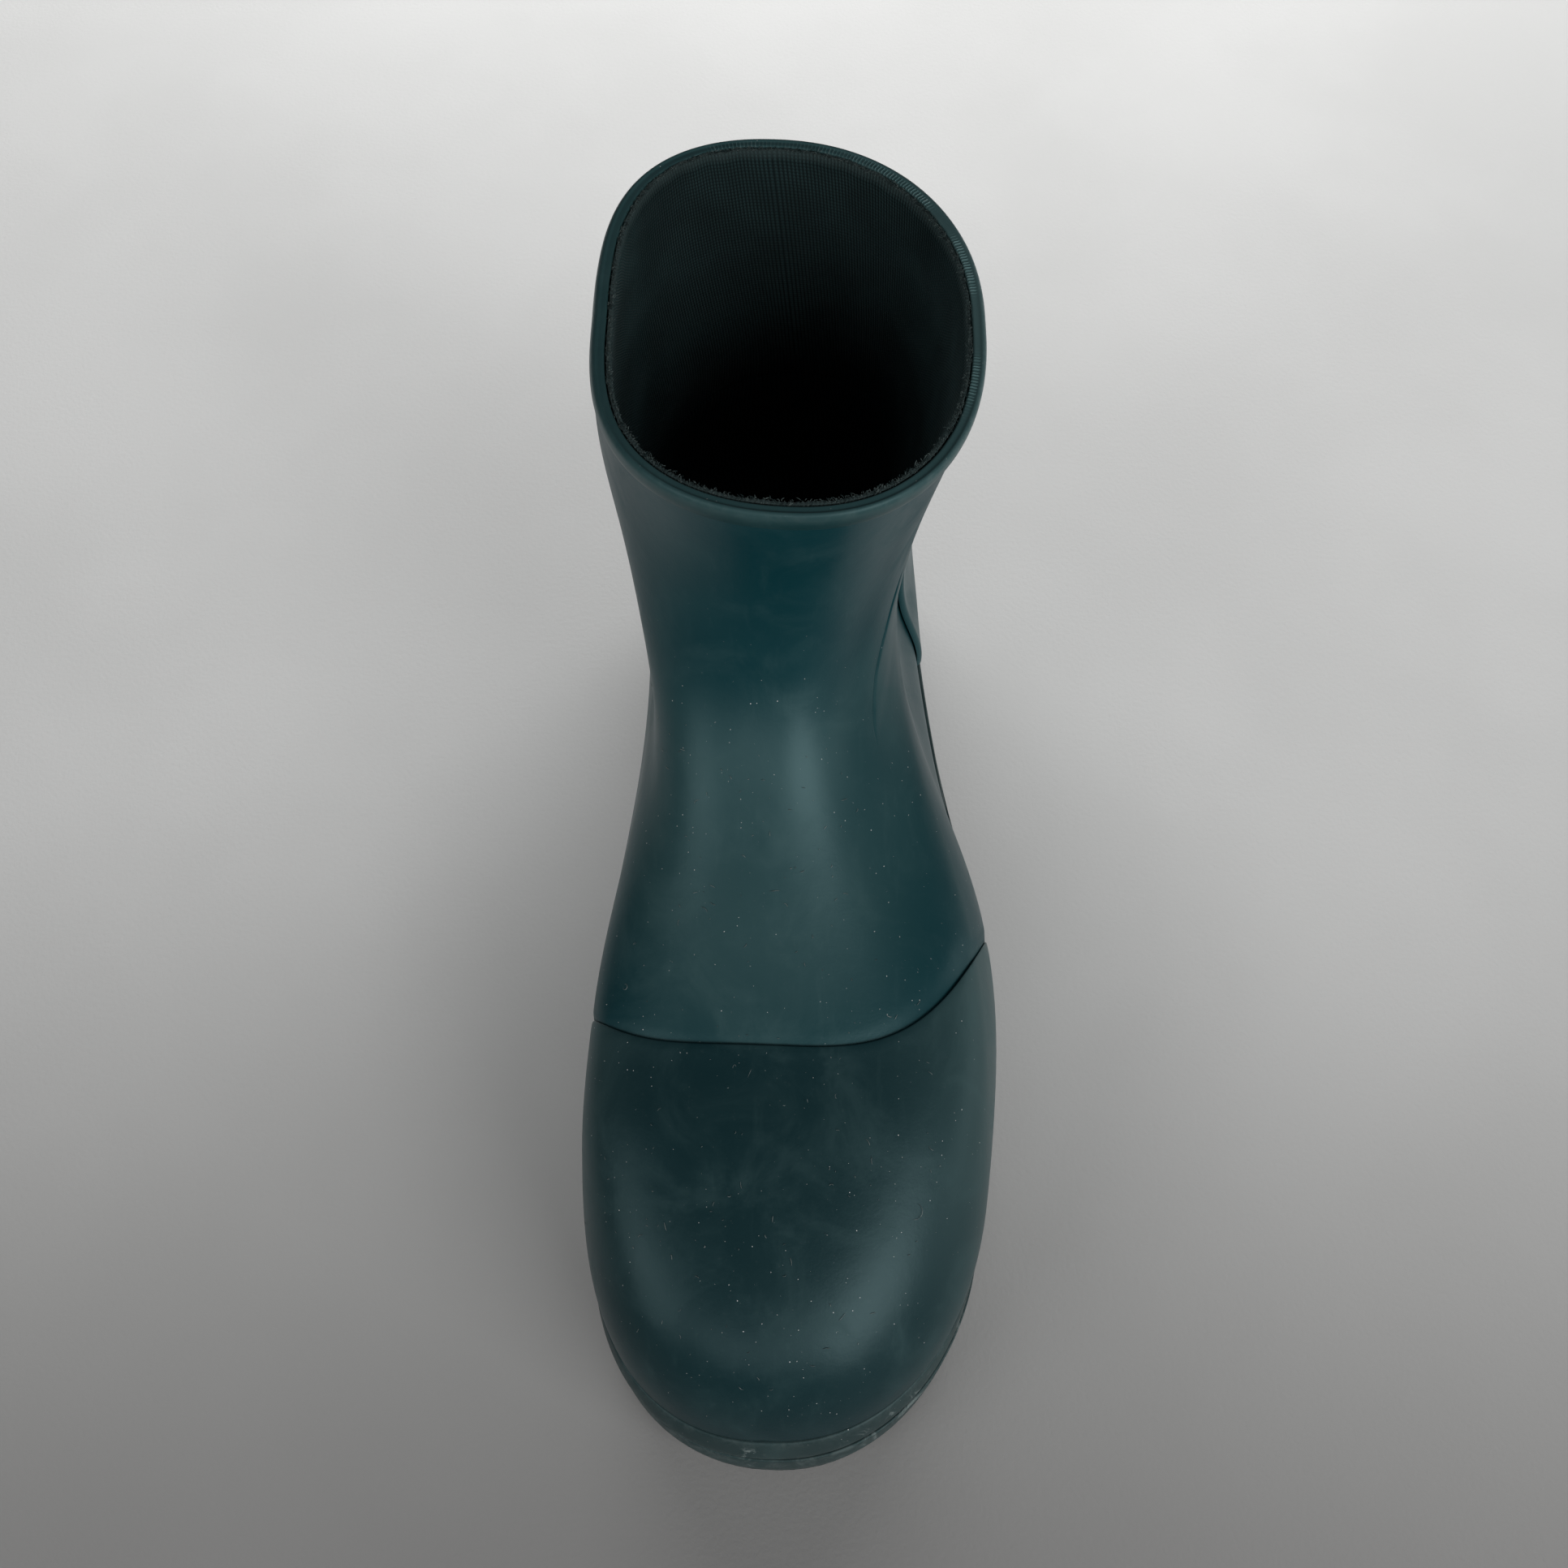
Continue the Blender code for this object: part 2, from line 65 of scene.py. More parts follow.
# Rings of the upper, bottom to top. Each row: level; front y and z; back y and z; outer and
# inner half-widths at the four SHARES of the ring's length; front and back rounding lengths.
SHARES = (0.12, 0.36, 0.62, 0.88)
RINGS = np.array([
    (0.00, -156, 28, 134, 30, 45.5, 50, 40.5, 31.5, 42, 39.5, 33, 34, 51, 47),
    (0.09, -151, 44, 139, 39, 51, 54.5, 42, 32.5, 44.5, 43, 36, 38, 53, 47),
    (0.22, -134, 62, 139, 53, 50, 56, 36, 33, 43.5, 43.5, 36, 40, 56, 47),
    (0.36, -94.5, 74.5, 136, 68, 51.5, 47, 31, 35.5, 44.5, 38, 37, 41, 67, 49),
    (0.52, -40, 91, 130, 89, 36.5, 32.5, 31.5, 38, 36, 32, 38, 42, 77, 53),
    (0.70, 2.5, 120, 127, 116, 30.5, 33.5, 37, 42, 42, 37, 41.5, 42, 62, 56),
    (0.86, 15, 152, 128.5, 143, 38.5, 40.5, 43, 45.5, 45.5, 44.5, 45, 45.5, 57, 57.5),
    (1.00, 13.5, 181.5, 133.5, 171, 43.5, 44.5, 46.5, 47.5, 47.5, 43, 42, 45, 55, 61),
])


class Slot(Enum):
    """The record's material slots."""

    UPPER = "upper_rubber"
    TRIM = "trim_rubber"
    SOLE = "sole_rubber"
    KNIT = "lining_knit"
    BOARD = "stiffener_board"
    SPONGE = "sponge_rubber"
    FOAM = "footbed_foam"
    STEEL = "shank_steel"


# ---------------------------------------------------------------- numbers on arrays


def spline(knots: Array, values: Array, at: Array) -> Array:
    """Natural cubic spline through rows of values: each stretch is a cubic, and slope and
    bend run on across the knots.

    Args:
        knots: Increasing places of the rows.
        values: One row of values for each knot.
        at: Places to read, of any shape.

    Returns:
        The values at those places, with one more axis than at.
    """
    knots = np.asarray(knots, float)
    values = np.asarray(values, float)
    step = np.diff(knots)
    last = len(knots) - 1
    inner = np.arange(1, last)
    system = np.zeros((last + 1, last + 1))
    system[0, 0] = 1
    system[last, last] = 1
    system[inner, inner - 1] = step[:-1]
    system[inner, inner] = 2 * (step[:-1] + step[1:])
    system[inner, inner + 1] = step[1:]
    rise = np.diff(values, axis=0) / step[:, None]
    right = np.zeros_like(values)
    right[1:-1] = 3 * np.diff(rise, axis=0)
    bend = np.linalg.solve(system, right)
    i = np.clip(np.searchsorted(knots, at, side="right") - 1, 0, last - 1)
    d = (at - knots[i])[..., None]
    h = step[i][..., None]
    slope = rise[i] - h * (2 * bend[i] + bend[i + 1]) / 3
    return values[i] + slope * d + bend[i] * d**2 + (bend[i + 1] - bend[i]) / (3 * h) * d**3


def smooth_step(value: Array, low: float, high: float) -> Array:
    """0 below low, 1 above high, and three squares less two cubes between them."""
    share = np.clip((value - low) / (high - low), 0, 1)
    return share * share * (3 - 2 * share)


def bell(value: Array, middle: float, reach: float) -> Array:
    """A bell curve: 1 at the middle, falling with the square of the distance over reach."""
    return np.exp(-(((value - middle) / reach) ** 2))


def quarter_round(share: Array) -> Array:
    """A quarter circle: 0 at share 0, rising steeply and level from share 1 on."""
    return np.sqrt(1 - (1 - np.clip(share, 0, 1)) ** 2)


def graded(low: float, high: float, count: int, closeness: Array) -> Array:
    """Places from low to high whose spacing shrinks where closeness is large.

    Args:
        low: First place.
        high: Last place.
        count: How many places.
        closeness: Wished density on an even grid from low to high.

    Returns:
        The places, by reading the inverse of the running sum of closeness.
    """
    even = np.linspace(low, high, len(closeness))
    running = np.concatenate([[0], np.cumsum((closeness[1:] + closeness[:-1]) / 2)])
    return np.interp(np.linspace(0, running[-1], count), running, even)


def ripple(turn: Array, level: Array, seed: int, count: int = 9) -> Array:
    """A gentle irregular wave over the surface: a sum of sines with whole numbers of waves
    round the turn, so that it closes on itself.

    Args:
        turn: Angles round the ring.
        level: Heights from 0 to 1.
        seed: Which wave it is.
        count: How many sines it adds.

    Returns:
        Numbers between about -1 and 1.
    """
    draw = np.random.default_rng(seed)
    waves = draw.integers(1, 6, count)
    climbs = draw.uniform(-16, 16, count)
    starts = draw.uniform(0, FULL_TURN, count)
    total = np.zeros(np.broadcast(turn, level).shape)
    for wave, climb, start in zip(waves, climbs, starts):
        total += np.sin(wave * turn + climb * level + start)
    return total / math.sqrt(2 * count)


def rounded_section(corners: Array, radii: Sequence[float], steps: int = 6) -> Array:
    """Rounds each corner of a closed section with a parabola that leaves both sides at the
    corner's radius, or at most half of the side away.

    Args:
        corners: Corner points, corners by columns by three.
        radii: One radius for each corner, in millimetres.
        steps: Points on each rounded corner.

    Returns:
        The finer section, points by columns by three.
    """
    reach = np.asarray(radii, float)[:, None]

    def toward(other: Array) -> Array:
        """The place where a corner's rounding starts.

        Args:
            other: The corner that each side leads to.

        Returns:
            A point on each side.
        """
        gap = other - corners
        share = np.minimum(reach / np.linalg.norm(gap, axis=-1), 0.49)
        return corners + gap * share[..., None]

    start = toward(np.roll(corners, 1, axis=0))[:, None]
    end = toward(np.roll(corners, -1, axis=0))[:, None]
    t = np.linspace(0, 1, steps)[None, :, None, None]
    curve = (1 - t) ** 2 * start + 2 * t * (1 - t) * corners[:, None] + t**2 * end
    return curve.reshape(-1, *corners.shape[1:])


# ---------------------------------------------------------------- the last


@dataclass(frozen=True)
class Last:
    """The outside of the rubber as a function of turn and level."""

    rounding: float = 2.2
    instep_lean: float = 6.5
    rim_lean: float = 9.0
    ball_sag: float = 8.0
    ball_y: float = -68.0
    ball_reach: float = 62.0
    flat_foot: float = 0.05
    shift: tuple[float, float, float] = (-3.25, 9.5, 0.0)

    def rounded_end(self, share: Array) -> Array:
        """A superellipse: 0 at the tip of a ring, 1 where its sides are at full width."""
        share = np.clip(share, 0, 1)
        return (1 - (1 - share) ** self.rounding) ** (1 / self.rounding)

    def outside(self, turn: Array, level: Array) -> Array:
        """Points on the outside. Along a ring the place from front to back goes with the
        cosine of turn, and the half-width there is a spline through the ring's widths times
        a superellipse at each end.

        Args:
            turn: Angles round the ring.
            level: Heights from 0 to 1.

        Returns:
            Points in millimetres, with a last axis of three.
        """
        turn, level = np.broadcast_arrays(np.asarray(turn, float), np.asarray(level, float))
        ring = spline(RINGS[:, 0], RINGS[:, 1:], level)
        front_y, front_z, back_y, back_z = (ring[..., k] for k in range(4))
        share = (1 - np.cos(turn)) / 2
        y = front_y + (back_y - front_y) * share
        sag = self.ball_sag * bell(y, self.ball_y, self.ball_reach) * (1 - level) ** 3
        z = front_z + (back_z - front_z) * share - sag
        weights = spline(np.array(SHARES), np.eye(4), share)
        outer = (weights * ring[..., 4:8]).sum(-1)
        inner = (weights * ring[..., 8:12]).sum(-1)
        side = np.where(np.sin(turn) >= 0, 1.0, -1.0)
        width = np.where(side > 0, outer, inner)
        width = width * self.rounded_end((y - front_y) / ring[..., 12])
        width = width * self.rounded_end((back_y - y) / ring[..., 13])
        front_x = -self.instep_lean * np.sin(math.pi * level)
        back_x = -0.5 - self.rim_lean * level**3
        x = front_x + (back_x - front_x) * share + side * width
        return np.stack([x, y, z], -1)

    def outward(self, turn: Array, level: Array, step: float = 1e-3) -> Array:
        """Unit normals: the cross product of a step round the ring and a step up the wall,
        turned level at the feather line.

        Args:
            turn: Angles round the ring.
            level: Heights from 0 to 1.
            step: Length of both steps.

        Returns:
            Vectors of length one.
        """
        inside = np.clip(level, step, 1 - step)
        round_ring = self.outside(turn + step, inside) - self.outside(turn - step, inside)
        up_wall = self.outside(turn, inside + step) - self.outside(turn, inside - step)
        normal = np.cross(round_ring, up_wall)
        normal[..., 2] *= np.clip(level / self.flat_foot, 0, 1)
        return normal / np.linalg.norm(normal, axis=-1, keepdims=True)

    def moved(self, turn: Array, level: Array, distance: Array | float) -> Array:
        """The outside moved out by a distance, along its normal."""
        distance = np.broadcast_to(distance, np.broadcast(turn, level).shape)
        return self.outside(turn, level) + self.outward(turn, level) * distance[..., None]

    def sideways(self, turn: Array, distance: Array | float) -> Array:
        """The feather line moved out level by a distance."""
        return self.moved(turn, np.zeros_like(turn), distance)


class Edge(Protocol):
    """A line across the upper where an overlay ends."""

    def inside(self, points: Array) -> Array:
        """How far each point lies inside the overlay, in millimetres."""


@dataclass(frozen=True)
class CapEdge:
    """The toe cap's back edge in plan: a power curve, furthest forward at middle_x."""

    front_y: float = -69.0
    middle_x: float = -7.0
    reach: float = 54.0
    sweep: float = 25.7
    power: float = 3.7

    def back_y(self, x: Array) -> Array:
        """The edge's y for each x."""
        return self.front_y + self.sweep * (abs(x - self.middle_x) / self.reach) ** self.power

    def inside(self, points: Array) -> Array:
        """The plan distance ahead of the edge, divided by the length of its slope.

        Args:
            points: Points in millimetres.

        Returns:
            How far each lies ahead of the edge.
        """
        x, y = points[..., 0], points[..., 1]
        share = abs(x - self.middle_x) / self.reach
        slope = self.sweep * self.power / self.reach * share ** (self.power - 1)
        return (self.back_y(x) - y) / np.sqrt(1 + slope**2)


@dataclass(frozen=True)
class CounterEdge:
    """The heel counter's edge from the side: a spline through a few points, y and z."""

    through: tuple[tuple[float, float], ...] = (
        (61, 0), (63, 30), (71, 61), (79, 80), (92, 95), (112, 103), (170, 107),
    )
    samples: int = 160

    def inside(self, points: Array) -> Array:
        """The distance from the nearest sample of the line, measured along its normal.

        Args:
            points: Points in millimetres.

        Returns:
            How far each lies behind the line.
        """
        knots = np.arange(len(self.through), dtype=float)
        at = np.linspace(0, knots[-1], self.samples)
        line = spline(knots, np.array(self.through), at)
        along = np.gradient(line, axis=0)
        along /= np.linalg.norm(along, axis=1, keepdims=True)
        normal = np.stack([along[:, 1], -along[:, 0]], 1)
        flat = points[..., 1:].reshape(-1, 2)
        gap = flat[:, None] - line[None]
        nearest = (gap**2).sum(-1).argmin(1)
        rows = np.arange(len(flat))
        return (gap[rows, nearest] * normal[nearest]).sum(-1).reshape(points.shape[:-1])


# ---------------------------------------------------------------- meshes


@dataclass
class Body:
    """A closed mesh: points in millimetres, faces of four corners, and what rides on them."""

    points: Array
    faces: Array
    corner_uv: Array | None = None
    marks: dict[str, Array] = field(default_factory=dict)


def cell_faces(rows: int, columns: int, closes_rows: bool, closes_columns: bool) -> Array:
    """The quads of a grid of points, each split the same way: point (i, k), its neighbour
    on the row, the one above that, and the one above the first.

    Args:
        rows: Rows of points.
        columns: Columns of points.
        closes_rows: Whether the last row joins the first.
        closes_columns: Whether the last column joins the first.

    Returns:
        Point numbers, one row of four for each quad.
    """
    i, k = np.meshgrid(
        np.arange(rows if closes_rows else rows - 1),
        np.arange(columns if closes_columns else columns - 1),
        indexing="ij",
    )
    above, beside = (i + 1) % rows, (k + 1) % columns
    corners = [i * columns + k, i * columns + beside, above * columns + beside, above * columns + k]
    return np.stack(corners, -1).reshape(-1, 4)


def ring_body(sections: Array, uv_size: tuple[float, float] | None = None,
              marks: dict[str, Array] | None = None) -> Body:
    """A band that goes all the way round, from a closed section at each column.

    Args:
        sections: Points, section points by columns by three. The section runs up its outer
            side and back down its inner side.
        uv_size: What one column and one section point add to the two UV numbers.
        marks: Numbers for each point, by attribute name, section points by columns.

    Returns:
        The band.
    """
    rows, columns = sections.shape[:2]
    faces = cell_faces(rows, columns, True, True)
    uv = None
    if uv_size:
        i, k = np.meshgrid(np.arange(rows), np.arange(columns), indexing="ij")
        corners = [(k, i), (k + 1, i), (k + 1, i + 1), (k, i + 1)]
        uv = np.stack([np.stack(c, -1) for c in corners], 2).reshape(-1, 2) * np.array(uv_size)
    flat = {name: values.ravel() for name, values in (marks or {}).items()}
    return Body(sections.reshape(-1, 3), faces, uv, flat)


def plate_body(top: Array, bottom: Array) -> Body:
    """A plate between two grids of the same shape, with walls along their outline.

    Args:
        top: The upper grid's points.
        bottom: The lower grid's points.

    Returns:
        The closed plate.
    """
    rows, columns = top.shape[:2]
    count = rows * columns
    number = np.arange(count).reshape(rows, columns)
    outline = np.concatenate([number[0], number[1:, -1], number[-1, -2::-1], number[-2:0:-1, 0]])
    ahead = np.roll(outline, -1)
    walls = np.stack([ahead, outline, outline + count, ahead + count], 1)
    cells = cell_faces(rows, columns, False, False)
    faces = np.concatenate([cells, cells[:, ::-1] + count, walls])
    return Body(np.concatenate([top.reshape(-1, 3), bottom.reshape(-1, 3)]), faces)


def thread_body(paths: Array, radius: Array, sides: int = 3) -> Body:
    """Thin tubes along many paths: at each point of a path, a small ring of points in the
    plane across it, narrowed to the path itself at both ends.

    Args:
        paths: Points, threads by points by three.
        radius: The radius of each thread.
        sides: Points on each ring.

    Returns:
        All the tubes in one body.
    """
    threads, length = paths.shape[:2]
    along = np.gradient(paths, axis=1)
    along /= np.linalg.norm(along, axis=-1, keepdims=True)
    helper = np.where(abs(along[..., 2:]) < 0.8, np.array((0, 0, 1.0)), np.array((1.0, 0, 0)))
    across = np.cross(along, helper)
    across /= np.linalg.norm(across, axis=-1, keepdims=True)
    other = np.cross(along, across)
    angle = np.arange(sides) * FULL_TURN / sides
    size = radius[:, None] * np.minimum(1, 0.02 + np.sin(np.linspace(0, math.pi, length)) * 1.8)
    ring = across[:, :, None] * np.cos(angle)[:, None] + other[:, :, None] * np.sin(angle)[:, None]
    points = paths[:, :, None] + ring * size[:, :, None, None]
    cells = cell_faces(length, sides, False, True)
    cap = np.arange(sides)[::-1]
    caps = np.stack([np.resize(cap, 4), np.resize(cap[::-1] + (length - 1) * sides, 4)])
    caps[:, 3] = caps[:, 2]
    each = np.concatenate([cells, caps])
    faces = each[None] + (np.arange(threads) * length * sides)[:, None, None]
    return Body(points.reshape(-1, 3), faces.reshape(-1, 4))


def build_mesh(name: str, body: Body, welds: bool) -> bpy.types.Mesh:
    """Puts a body into a Blender mesh in metres, in the row frame.

    Args:
        name: The mesh's name.
        body: Points, faces, UV and marks.
        welds: Whether points that meet, such as at a pole, become one.

    Returns:
        The mesh, smooth and with its faces outwards.
    """
    mesh = bpy.data.meshes.new(name)
    shift = np.array(Last().shift)
    doubled = body.faces[:, 2] == body.faces[:, 3]
    sizes = np.where(doubled, 3, 4)
    keep = np.ones(body.faces.shape, bool)
    keep[doubled, 3] = False
    mesh.vertices.add(len(body.points))
    mesh.vertices.foreach_set("co", ((body.points + shift) * MM).astype(np.float32).ravel())
    mesh.loops.add(int(sizes.sum()))
    mesh.loops.foreach_set("vertex_index", body.faces[keep].astype(np.int32))
    mesh.polygons.add(len(sizes))
    mesh.polygons.foreach_set("loop_start", (np.cumsum(sizes) - sizes).astype(np.int32))
    mesh.update(calc_edges=True)
    if body.corner_uv is not None:
        layer = mesh.uv_layers.new(name="UVMap")
        layer.data.foreach_set("uv", body.corner_uv.astype(np.float32).ravel())
    for mark, values in body.marks.items():
        attribute = mesh.attributes.new(mark, "FLOAT", "POINT")
        attribute.data.foreach_set("value", values.astype(np.float32))
    work = bmesh.new()
    work.from_mesh(mesh)
    if welds:
        bmesh.ops.remove_doubles(work, verts=work.verts, dist=WELD)
        bmesh.ops.dissolve_degenerate(work, dist=WELD, edges=work.edges)
    bmesh.ops.recalc_face_normals(work, faces=work.faces)
    work.to_mesh(mesh)
    work.free()
    return mesh


def add_piece(name: str, body: Body, finish: bpy.types.Material,
              stands_for: str | None = None, sharp: float = 50.0, welds: bool = False,
              ) -> bpy.types.Object:
    """Makes a piece that rides on the boot and reports it.

    Args:
        name: The piece's name.
        body: Its mesh in millimetres.
        finish: Its material.
        stands_for: The CAD node that it replaces.
        sharp: Edges that turn by more than this many degrees stay sharp.
        welds: Whether its poles are closed by joining points.

    Returns:
        The new object.
    """
    mesh = build_mesh(name, body, welds)
    mesh.shade_smooth()
    mesh.set_sharp_from_angle(angle=math.radians(sharp))
    mesh.materials.append(finish)
    piece = bpy.data.objects.new(name, mesh)
    bpy.context.scene.collection.objects.link(piece)
    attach(piece, "root")
    if stands_for:
        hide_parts(stands_for)
    log.info("%s: %d faces", name, len(mesh.polygons))
    return piece


# ---------------------------------------------------------------- finishes


class Graph:
    """A material's node graph, built one node at a time around a Principled shader."""

    def __init__(self, name: str) -> None:
        """Starts a material with its shader and its coordinates.

        Args:
            name: The material's name.
        """
        self.material = bpy.data.materials.new(name)
        self.material.use_nodes = True
        self.tree = self.material.node_tree
        self.shader = self.tree.nodes["Principled BSDF"]
        coordinate = self.tree.nodes.new("ShaderNodeTexCoord")
        self.place = coordinate.outputs["Object"]
        self.uv = coordinate.outputs["UV"]

    def node(self, kind: str, inputs: dict[str | int, object] | None = None,
             **settings: object) -> bpy.types.Node:
        """Adds a node.

        Args:
            kind: The node's type, without the ShaderNode prefix.
            inputs: Values or sockets for its inputs, by name or number.
            settings: The node's own properties.

        Returns:
            The node.
        """
        made = self.tree.nodes.new("ShaderNode" + kind)
        for name, value in settings.items():
            setattr(made, name, value)
        for key, value in (inputs or {}).items():
            self.feed(made.inputs[key], value)
        return made

    def feed(self, socket: bpy.types.NodeSocket, value: object) -> None:
        """Links a socket to another, or sets its own value.

        Args:
            socket: The input to feed.
            value: A socket, or the input's own value.
        """
        if isinstance(value, bpy.types.NodeSocket):
            self.tree.links.new(value, socket)
        else:
            socket.default_value = value

    def set(self, **values: object) -> None:
        """Sets or links the shader's sockets.

        Args:
            values: Values or sockets by the input's name, with underscores for spaces.
        """
        for name, value in values.items():
            socket = self.shader.inputs[name.replace("_", " ")]
            if isinstance(value, tuple) and len(value) == 3 and socket.type == "RGBA":
                value = (*value, 1.0)
            self.feed(socket, value)

    def stretched(self, factors: tuple[float, float, float],
                  vector: bpy.types.NodeSocket | None = None) -> bpy.types.NodeSocket:
        """The Object coordinates, or another vector, multiplied by a factor on each axis."""
        inputs = {"Vector": vector or self.place, "Scale": factors}
        return self.node("Mapping", inputs).outputs["Vector"]

    def noise(self, scale: float, detail: float = 3.0, rough: float = 0.5, warp: float = 0.0,
              vector: bpy.types.NodeSocket | None = None) -> bpy.types.NodeSocket:
        """Fractal noise from 0 to 1.

        Args:
            scale: Waves per metre.
            detail: How many finer octaves are added.
            rough: How strong each octave is against the one before.
            warp: How much the noise bends its own place.
            vector: The place to read, where it isn't the Object coordinates.

        Returns:
            The noise.
        """
        inputs = {"Vector": vector or self.place, "Scale": scale, "Detail": detail,
                  "Roughness": rough, "Distortion": warp}
        return self.node("TexNoise", inputs).outputs["Fac"]

    def span(self, value: bpy.types.NodeSocket, low: float, high: float,
             to_low: float = 0.0, to_high: float = 1.0) -> bpy.types.NodeSocket:
        """Maps the range from low to high onto another, smoothly and with its ends held.

        Args:
            value: The number to map.
            low: Where the range starts.
            high: Where it ends.
            to_low: What its start becomes.
            to_high: What its end becomes.

        Returns:
            The mapped number.
        """
        inputs = {"Value": value, "From Min": low, "From Max": high,
                  "To Min": to_low, "To Max": to_high}
        made = self.node("MapRange", inputs, interpolation_type="SMOOTHSTEP")
        return made.outputs["Result"]

    def math(self, operation: str, first: object, second: object = 0.0) -> bpy.types.NodeSocket:
        """One sum on one or two numbers."""
        return self.node("Math", {0: first, 1: second}, operation=operation).outputs[0]

    def mix(self, share: object, first: object, second: object) -> bpy.types.NodeSocket:
        """Mixes two colours.

        Args:
            share: How much of the second colour there is.
            first: A socket or three numbers.
            second: A socket or three numbers.

        Returns:
            The mixed colour.
        """
        made = self.node("Mix", {"Factor": share}, data_type="RGBA")
        ends = [(*c, 1.0) if isinstance(c, tuple) else c for c in (first, second)]
        self.feed(made.inputs[6], ends[0])
        self.feed(made.inputs[7], ends[1])
        return made.outputs[2]

    def mark(self, name: str) -> bpy.types.NodeSocket:
        """A number that the mesh carries for each point, 0 where it has none."""
        return self.node("Attribute", attribute_name=name).outputs["Fac"]

    def bump(self, height: bpy.types.NodeSocket, distance: float, strength: float = 1.0,
             below: bpy.types.NodeSocket | None = None) -> bpy.types.NodeSocket:
        """Relief on top of the relief below.

        Args:
            height: Height from 0 to 1.
            distance: How many metres a height of 1 stands for.
            strength: How strongly it turns the light.
            below: The relief that it lies on.

        Returns:
            The normal with the relief.
        """
        inputs: dict[str | int, object] = {"Height": height, "Distance": distance,
                                           "Strength": strength}
        if below:
            inputs["Normal"] = below
        return self.node("Bump", inputs).outputs["Normal"]


@dataclass(frozen=True)
class RubberFinish:
    """Vulcanised rubber: a deep colour with slow drifts, a pale blooming that has come to the
    surface in clouds, fine rub marks, dust that sits on what faces up, and scuffed edges.

    The mesh may carry four marks: mist_and_painted_highlight, where the same pale colour is
    painted on as a highlight and as a thicker blooming; dull, where the rubber has lost its
    gloss; wear, along edges; and scuff, in patches."""

    name: str
    deep: Colour
    worn: Colour
    # The pale colour of the real blooming and of the painted highlight.
    bloom_and_highlight_colour: Colour = (0.105, 0.190, 0.192)
    bloom_share: float = 0.20
    mist_and_painted_highlight: float = 0.28
    roughness: float = 0.41
    gloss: float = 0.40
    dull_gloss: float | None = None
    glint: Colour = (0.66, 0.97, 1.0)
    grain: float = 0.00002
    dust: float = 1.0
    dust_cells: float = 620.0
    dust_colour: Colour = (1.0, 1.0, 0.98)
    film_colour: Colour = (0.4, 0.43, 0.42)
    scuffs: float = 0.0
    scuff_colour: Colour = (0.33, 0.39, 0.38)

    def material(self) -> bpy.types.Material:
        """Builds the material.

        Returns:
            The finished material.
        """
        graph = Graph(self.name)
        drift = graph.span(graph.noise(16, 3, 0.55, 0.3), 0.34, 0.68)
        clouds = graph.span(graph.noise(46, 6, 0.62, 0.8), 0.42, 0.78)
        streaks = graph.stretched((9.0, 1.6, 3.2))
        rubs = graph.span(graph.noise(30, 4, 0.6, 0.2, streaks), 0.55, 0.8)
        colour = graph.mix(drift, self.deep, self.worn)
        # Partly painted highlight: the pale colour laid on by the mist_and_painted_highlight mark
        # stands in for light, on top of the real blooming of the clouds and the rub marks.
        bloom_and_highlight_share = graph.math("ADD", graph.math("MULTIPLY", clouds, 0.75),
                          graph.math("MULTIPLY", rubs, 0.35))
        bloom_and_highlight_share = graph.math("MULTIPLY", bloom_and_highlight_share, self.bloom_share)
        bloom_and_highlight_share = graph.math("ADD", bloom_and_highlight_share, graph.math("MULTIPLY", graph.mark("mist_and_painted_highlight"), self.mist_and_painted_highlight))
        colour = graph.mix(bloom_and_highlight_share, colour, self.bloom_and_highlight_colour)
        rough = graph.span(clouds, 0, 1, self.roughness - 0.04, self.roughness + 0.07)
        if self.scuffs:
            colour, rough = self.scuffed(graph, colour, rough)
        if self.dust:
            colour, rough = self.dusted(graph, colour, rough)
        skin = graph.bump(graph.noise(1500, 3, 0.6), self.grain)
        skin = graph.bump(graph.noise(260, 3, 0.5), self.grain * 4, 0.6, skin)
        graph.set(Base_Color=colour, Roughness=rough, Normal=skin,
                  Specular_IOR_Level=self.gloss, Specular_Tint=self.glint)
        if self.dull_gloss is not None:
            gloss = graph.span(graph.mark("dull"), 0.0, 1.0, self.gloss, self.dull_gloss)
            graph.set(Specular_IOR_Level=gloss)
        return graph.material

    def dusted(self, graph: Graph, colour: bpy.types.NodeSocket,
               rough: bpy.types.NodeSocket) -> tuple[bpy.types.NodeSocket, bpy.types.NodeSocket]:
        """Adds pale specks of dust, each a small ball about a random point, with more of them
        on what faces up, and a thin film of finer dust.

        Args:
            graph: The material's graph.
            colour: The colour so far.
            rough: The roughness so far.

        Returns:
            The colour and the roughness with dust.
        """
        cells = graph.node("TexVoronoi", {"Vector": graph.place, "Scale": self.dust_cells})
        chance = graph.node("SeparateColor", {"Color": cells.outputs["Color"]})
        size = graph.span(chance.outputs[0], 0.10, 1.0, 0.02, 0.072)
        speck = graph.math("LESS_THAN", cells.outputs["Distance"], size)
        facing = graph.node("SeparateXYZ", {"Vector": graph.node("NewGeometry").outputs["Normal"]})
        lying = graph.span(facing.outputs[2], 0.15, 0.85)
        patch = graph.span(graph.noise(28, 2), 0.40, 0.62)
        shade = graph.math("MULTIPLY", chance.outputs[1], 2.2 * self.dust)
        share = graph.math("MULTIPLY", speck, graph.math("MULTIPLY", lying, shade))
        share = graph.math("MULTIPLY", share, graph.math("ADD", patch, 0.25))
        film = graph.math("MULTIPLY", graph.span(graph.noise(900, 4, 0.7), 0.58, 0.85), lying)
        film = graph.math("MULTIPLY", film, 0.05 * self.dust)
        colour = graph.mix(share, graph.mix(film, colour, self.film_colour), self.dust_colour)
        return colour, graph.math("ADD", rough, graph.math("MULTIPLY", share, 0.3))

